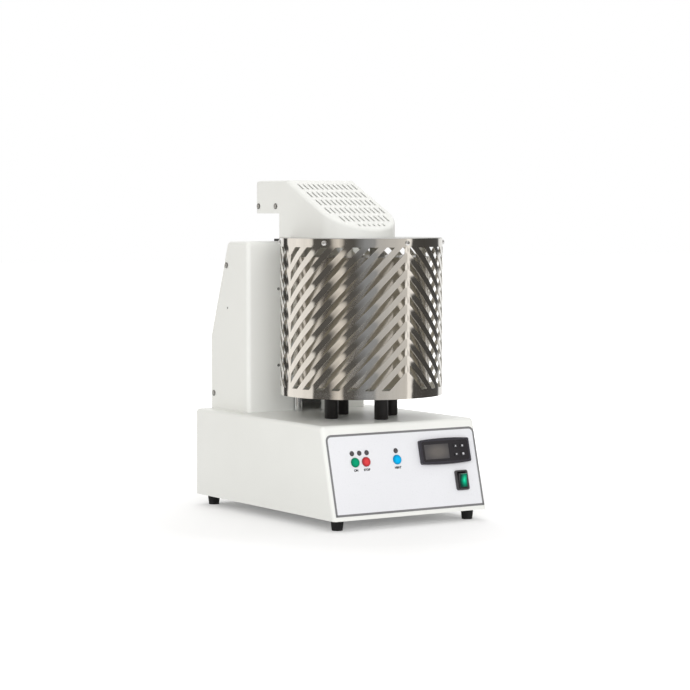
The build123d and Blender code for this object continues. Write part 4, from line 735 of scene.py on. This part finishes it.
def rocker_lens():
    """The green window let into the right of the rocker's face."""
    work = merged("switch_rocker")
    out = (panel_out * cos(ROCKER_TILT) - panel_up * sin(ROCKER_TILT)).normalized()
    up = out.cross(panel_right)
    other = [f for f in work.faces if f.normal.dot(out) < 0.9]
    bmesh.ops.delete(work, geom=other, context="FACES")
    centre = middle("switch_rocker")
    sides = ((LENS_LEFT - centre.x, -panel_right), (LENS_RIGHT - centre.x, panel_right))
    cuts = [(centre + panel_right * reach, way) for reach, way in sides]
    cuts += [(centre + up * LENS_HALF * way, up * way) for way in (1, -1)]
    for point, way in cuts:
        around = list(work.verts) + list(work.edges) + list(work.faces)
        bmesh.ops.bisect_plane(work, geom=around, plane_co=point, plane_no=way, clear_outer=True)
    new = raised(work, list(work.faces), LENS_T, out)
    bmesh.ops.recalc_face_normals(work, faces=work.faces)
    rim = [e for e in work.edges if all(v in new for v in e.verts) and e.calc_face_angle(0) > 1]
    bmesh.ops.bevel(work, geom=rim, affect="EDGES", offset=LENS_T * 0.7, segments=3, profile=0.5, material=-1)
    # Faces turned up along the lens's top take the paler second material, a painted highlight.
    for face in work.faces:
        face.material_index = 1 if face.normal.dot(up) > LENS_HIGHLIGHT_FACING else 0
    piece = finish_piece(work, "rocker_lens", green_lens(), "rocker")
    piece.data.materials.append(painted_lens_highlight)


foil_outline()
button_labels()
all_screws()
column_rivets()
for half in ("guard_front", "guard_rear"):
    rolled_guard(half)
heater_skirt()
face_film()
key_marks()
rocker_lens()


# Studio
def bare(name):
    """A material, or the world, with nothing in its tree but its output."""
    holder = name if isinstance(name, bpy.types.World) else bpy.data.materials.new(name)
    holder.use_nodes = True
    tree = holder.node_tree
    tree.nodes.clear()
    kind = "ShaderNodeOutputWorld" if isinstance(name, bpy.types.World) else "ShaderNodeOutputMaterial"
    return holder, tree, node(tree, kind)


def stage_piece(work, name, material):
    """Turns a bmesh into a piece of the studio."""
    mesh = bpy.data.meshes.new(name)
    work.to_mesh(mesh)
    work.free()
    mesh.materials.append(material)
    piece = bpy.data.objects.new(name, mesh)
    bpy.context.scene.collection.objects.link(piece)
    return piece


def pale_floor():
    """A matt floor that keeps the shadow, and shows white further out where it is looked at or mirrored."""
    material, tree, out = bare("pale floor")
    matt = node(tree, "ShaderNodeBsdfDiffuse", Color=(0.80, 0.80, 0.80, 1))
    glow = node(tree, "ShaderNodeEmission", Color=(1, 1, 1, 1))
    path = node(tree, "ShaderNodeLightPath")
    away = node(tree, "ShaderNodeVectorMath", operation="LENGTH")
    tree.links.new(object_space(tree, move=(0, -AXIS_Y, 0)), away.inputs[0])
    reach = spread(tree, away.outputs["Value"], FLOOR_GLOW_NEAR, FLOOR_GLOW_FAR, *FLOOR_GLOW)
    mirrored = combine(tree, "MULTIPLY", path.outputs["Is Glossy Ray"], FLOOR_MIRRORED)
    seen = combine(tree, "MAXIMUM", path.outputs["Is Camera Ray"], mirrored)
    tree.links.new(combine(tree, "MULTIPLY", seen, reach), glow.inputs["Strength"])
    joined = node(tree, "ShaderNodeAddShader")
    tree.links.new(matt.outputs[0], joined.inputs[0])
    tree.links.new(glow.outputs[0], joined.inputs[1])
    tree.links.new(joined.outputs[0], out.inputs["Surface"])
    work = bmesh.new()
    bmesh.ops.create_grid(work, x_segments=2, y_segments=2, size=FLOOR_SIZE)
    stage_piece(work, "floor", material)


def screens():
    """Pale and dark screens all round, which only bright metal mirrors."""
    material, tree, out = bare("studio screens")
    source = node(tree, "ShaderNodeTexCoord")
    parts = node(tree, "ShaderNodeSeparateXYZ")
    tree.links.new(source.outputs["Object"], parts.inputs["Vector"])
    turn = node(tree, "ShaderNodeMath", operation="ARCTAN2")
    tree.links.new(parts.outputs["X"], turn.inputs[0])
    tree.links.new(combine(tree, "MULTIPLY", parts.outputs["Y"], -1.0), turn.inputs[1])
    ramp = node(tree, "ShaderNodeValToRGB")
    tree.links.new(spread(tree, turn.outputs["Value"], 0, 1, -pi, pi), ramp.inputs["Fac"])
    stops = ramp.color_ramp.elements
    for number, (start, bright, warmth) in enumerate(SCREENS):
        place = start / 360 + 0.5
        stop = stops[0] if number == 0 else stops.new(place)
        stop.position = place
        stop.color = (*(bright * (1 - warmth * share) for share in SCREEN_TINT), 1)
    stops.remove(stops[-1])
    glow = node(tree, "ShaderNodeEmission", Strength=1.0)
    tree.links.new(ramp.outputs["Color"], glow.inputs["Color"])
    tree.links.new(glow.outputs[0], out.inputs["Surface"])
    work = bmesh.new()
    circle = bmesh.ops.create_circle(work, cap_ends=False, segments=96, radius=SCREEN_R)
    bmesh.ops.translate(work, vec=(0, AXIS_Y, 0), verts=circle["verts"])
    walls = bmesh.ops.extrude_edge_only(work, edges=list(work.edges))
    tops = [v for v in walls["geom"] if isinstance(v, bmesh.types.BMVert)]
    bmesh.ops.translate(work, vec=(0, 0, SCREEN_H), verts=tops)
    ring = stage_piece(work, "screens", material)
    ring.visible_camera = ring.visible_diffuse = ring.visible_shadow = ring.visible_transmission = False


def soft_world():
    """Even light from all round, white where it is looked at or mirrored."""
    world, tree, out = bare(bpy.data.worlds.new("studio"))
    bpy.context.scene.world = world
    path = node(tree, "ShaderNodeLightPath")
    soft = node(tree, "ShaderNodeBackground", Color=WORLD_TINT, Strength=WORLD_LIGHT)
    white = node(tree, "ShaderNodeBackground", Color=(1, 1, 1, 1), Strength=1.0)
    seen = combine(tree, "MAXIMUM", path.outputs["Is Camera Ray"], path.outputs["Is Glossy Ray"])
    both = node(tree, "ShaderNodeMixShader")
    tree.links.new(seen, both.inputs[0])
    tree.links.new(soft.outputs[0], both.inputs[1])
    tree.links.new(white.outputs[0], both.inputs[2])
    tree.links.new(both.outputs[0], out.inputs["Surface"])


def lamps():
    """Large soft lamps."""
    for name, place, size, power in LAMPS:
        light = bpy.data.lights.new(name, "AREA")
        light.shape = "SQUARE"
        light.size = size
        light.energy = power
        light.color = LAMP_TINT
        lamp = bpy.data.objects.new(name, light)
        lamp.location = place
        lamp.rotation_euler = (LAMP_AIM - Vector(place)).to_track_quat("-Z", "Y").to_euler()
        lamp.visible_glossy = False
        bpy.context.scene.collection.objects.link(lamp)


def stand_camera():
    """The camera, where it stood for the photograph."""
    scene = bpy.context.scene
    data = bpy.data.cameras.new("camera")
    data.lens = CAMERA_LENS
    data.sensor_width = CAMERA_SENSOR
    data.clip_end = CAMERA_REACH
    camera = bpy.data.objects.new("camera", data)
    camera.location = CAMERA_AT + Vector((0, AXIS_Y, CASING_Z))
    camera.rotation_euler = (CAMERA_AIM - CAMERA_AT).to_track_quat("-Z", "Y").to_euler()
    scene.collection.objects.link(camera)
    scene.camera = camera
    scene.view_settings.view_transform = "Standard"


pale_floor()
screens()
soft_world()
lamps()
stand_camera()
bpy.context.view_layer.update()
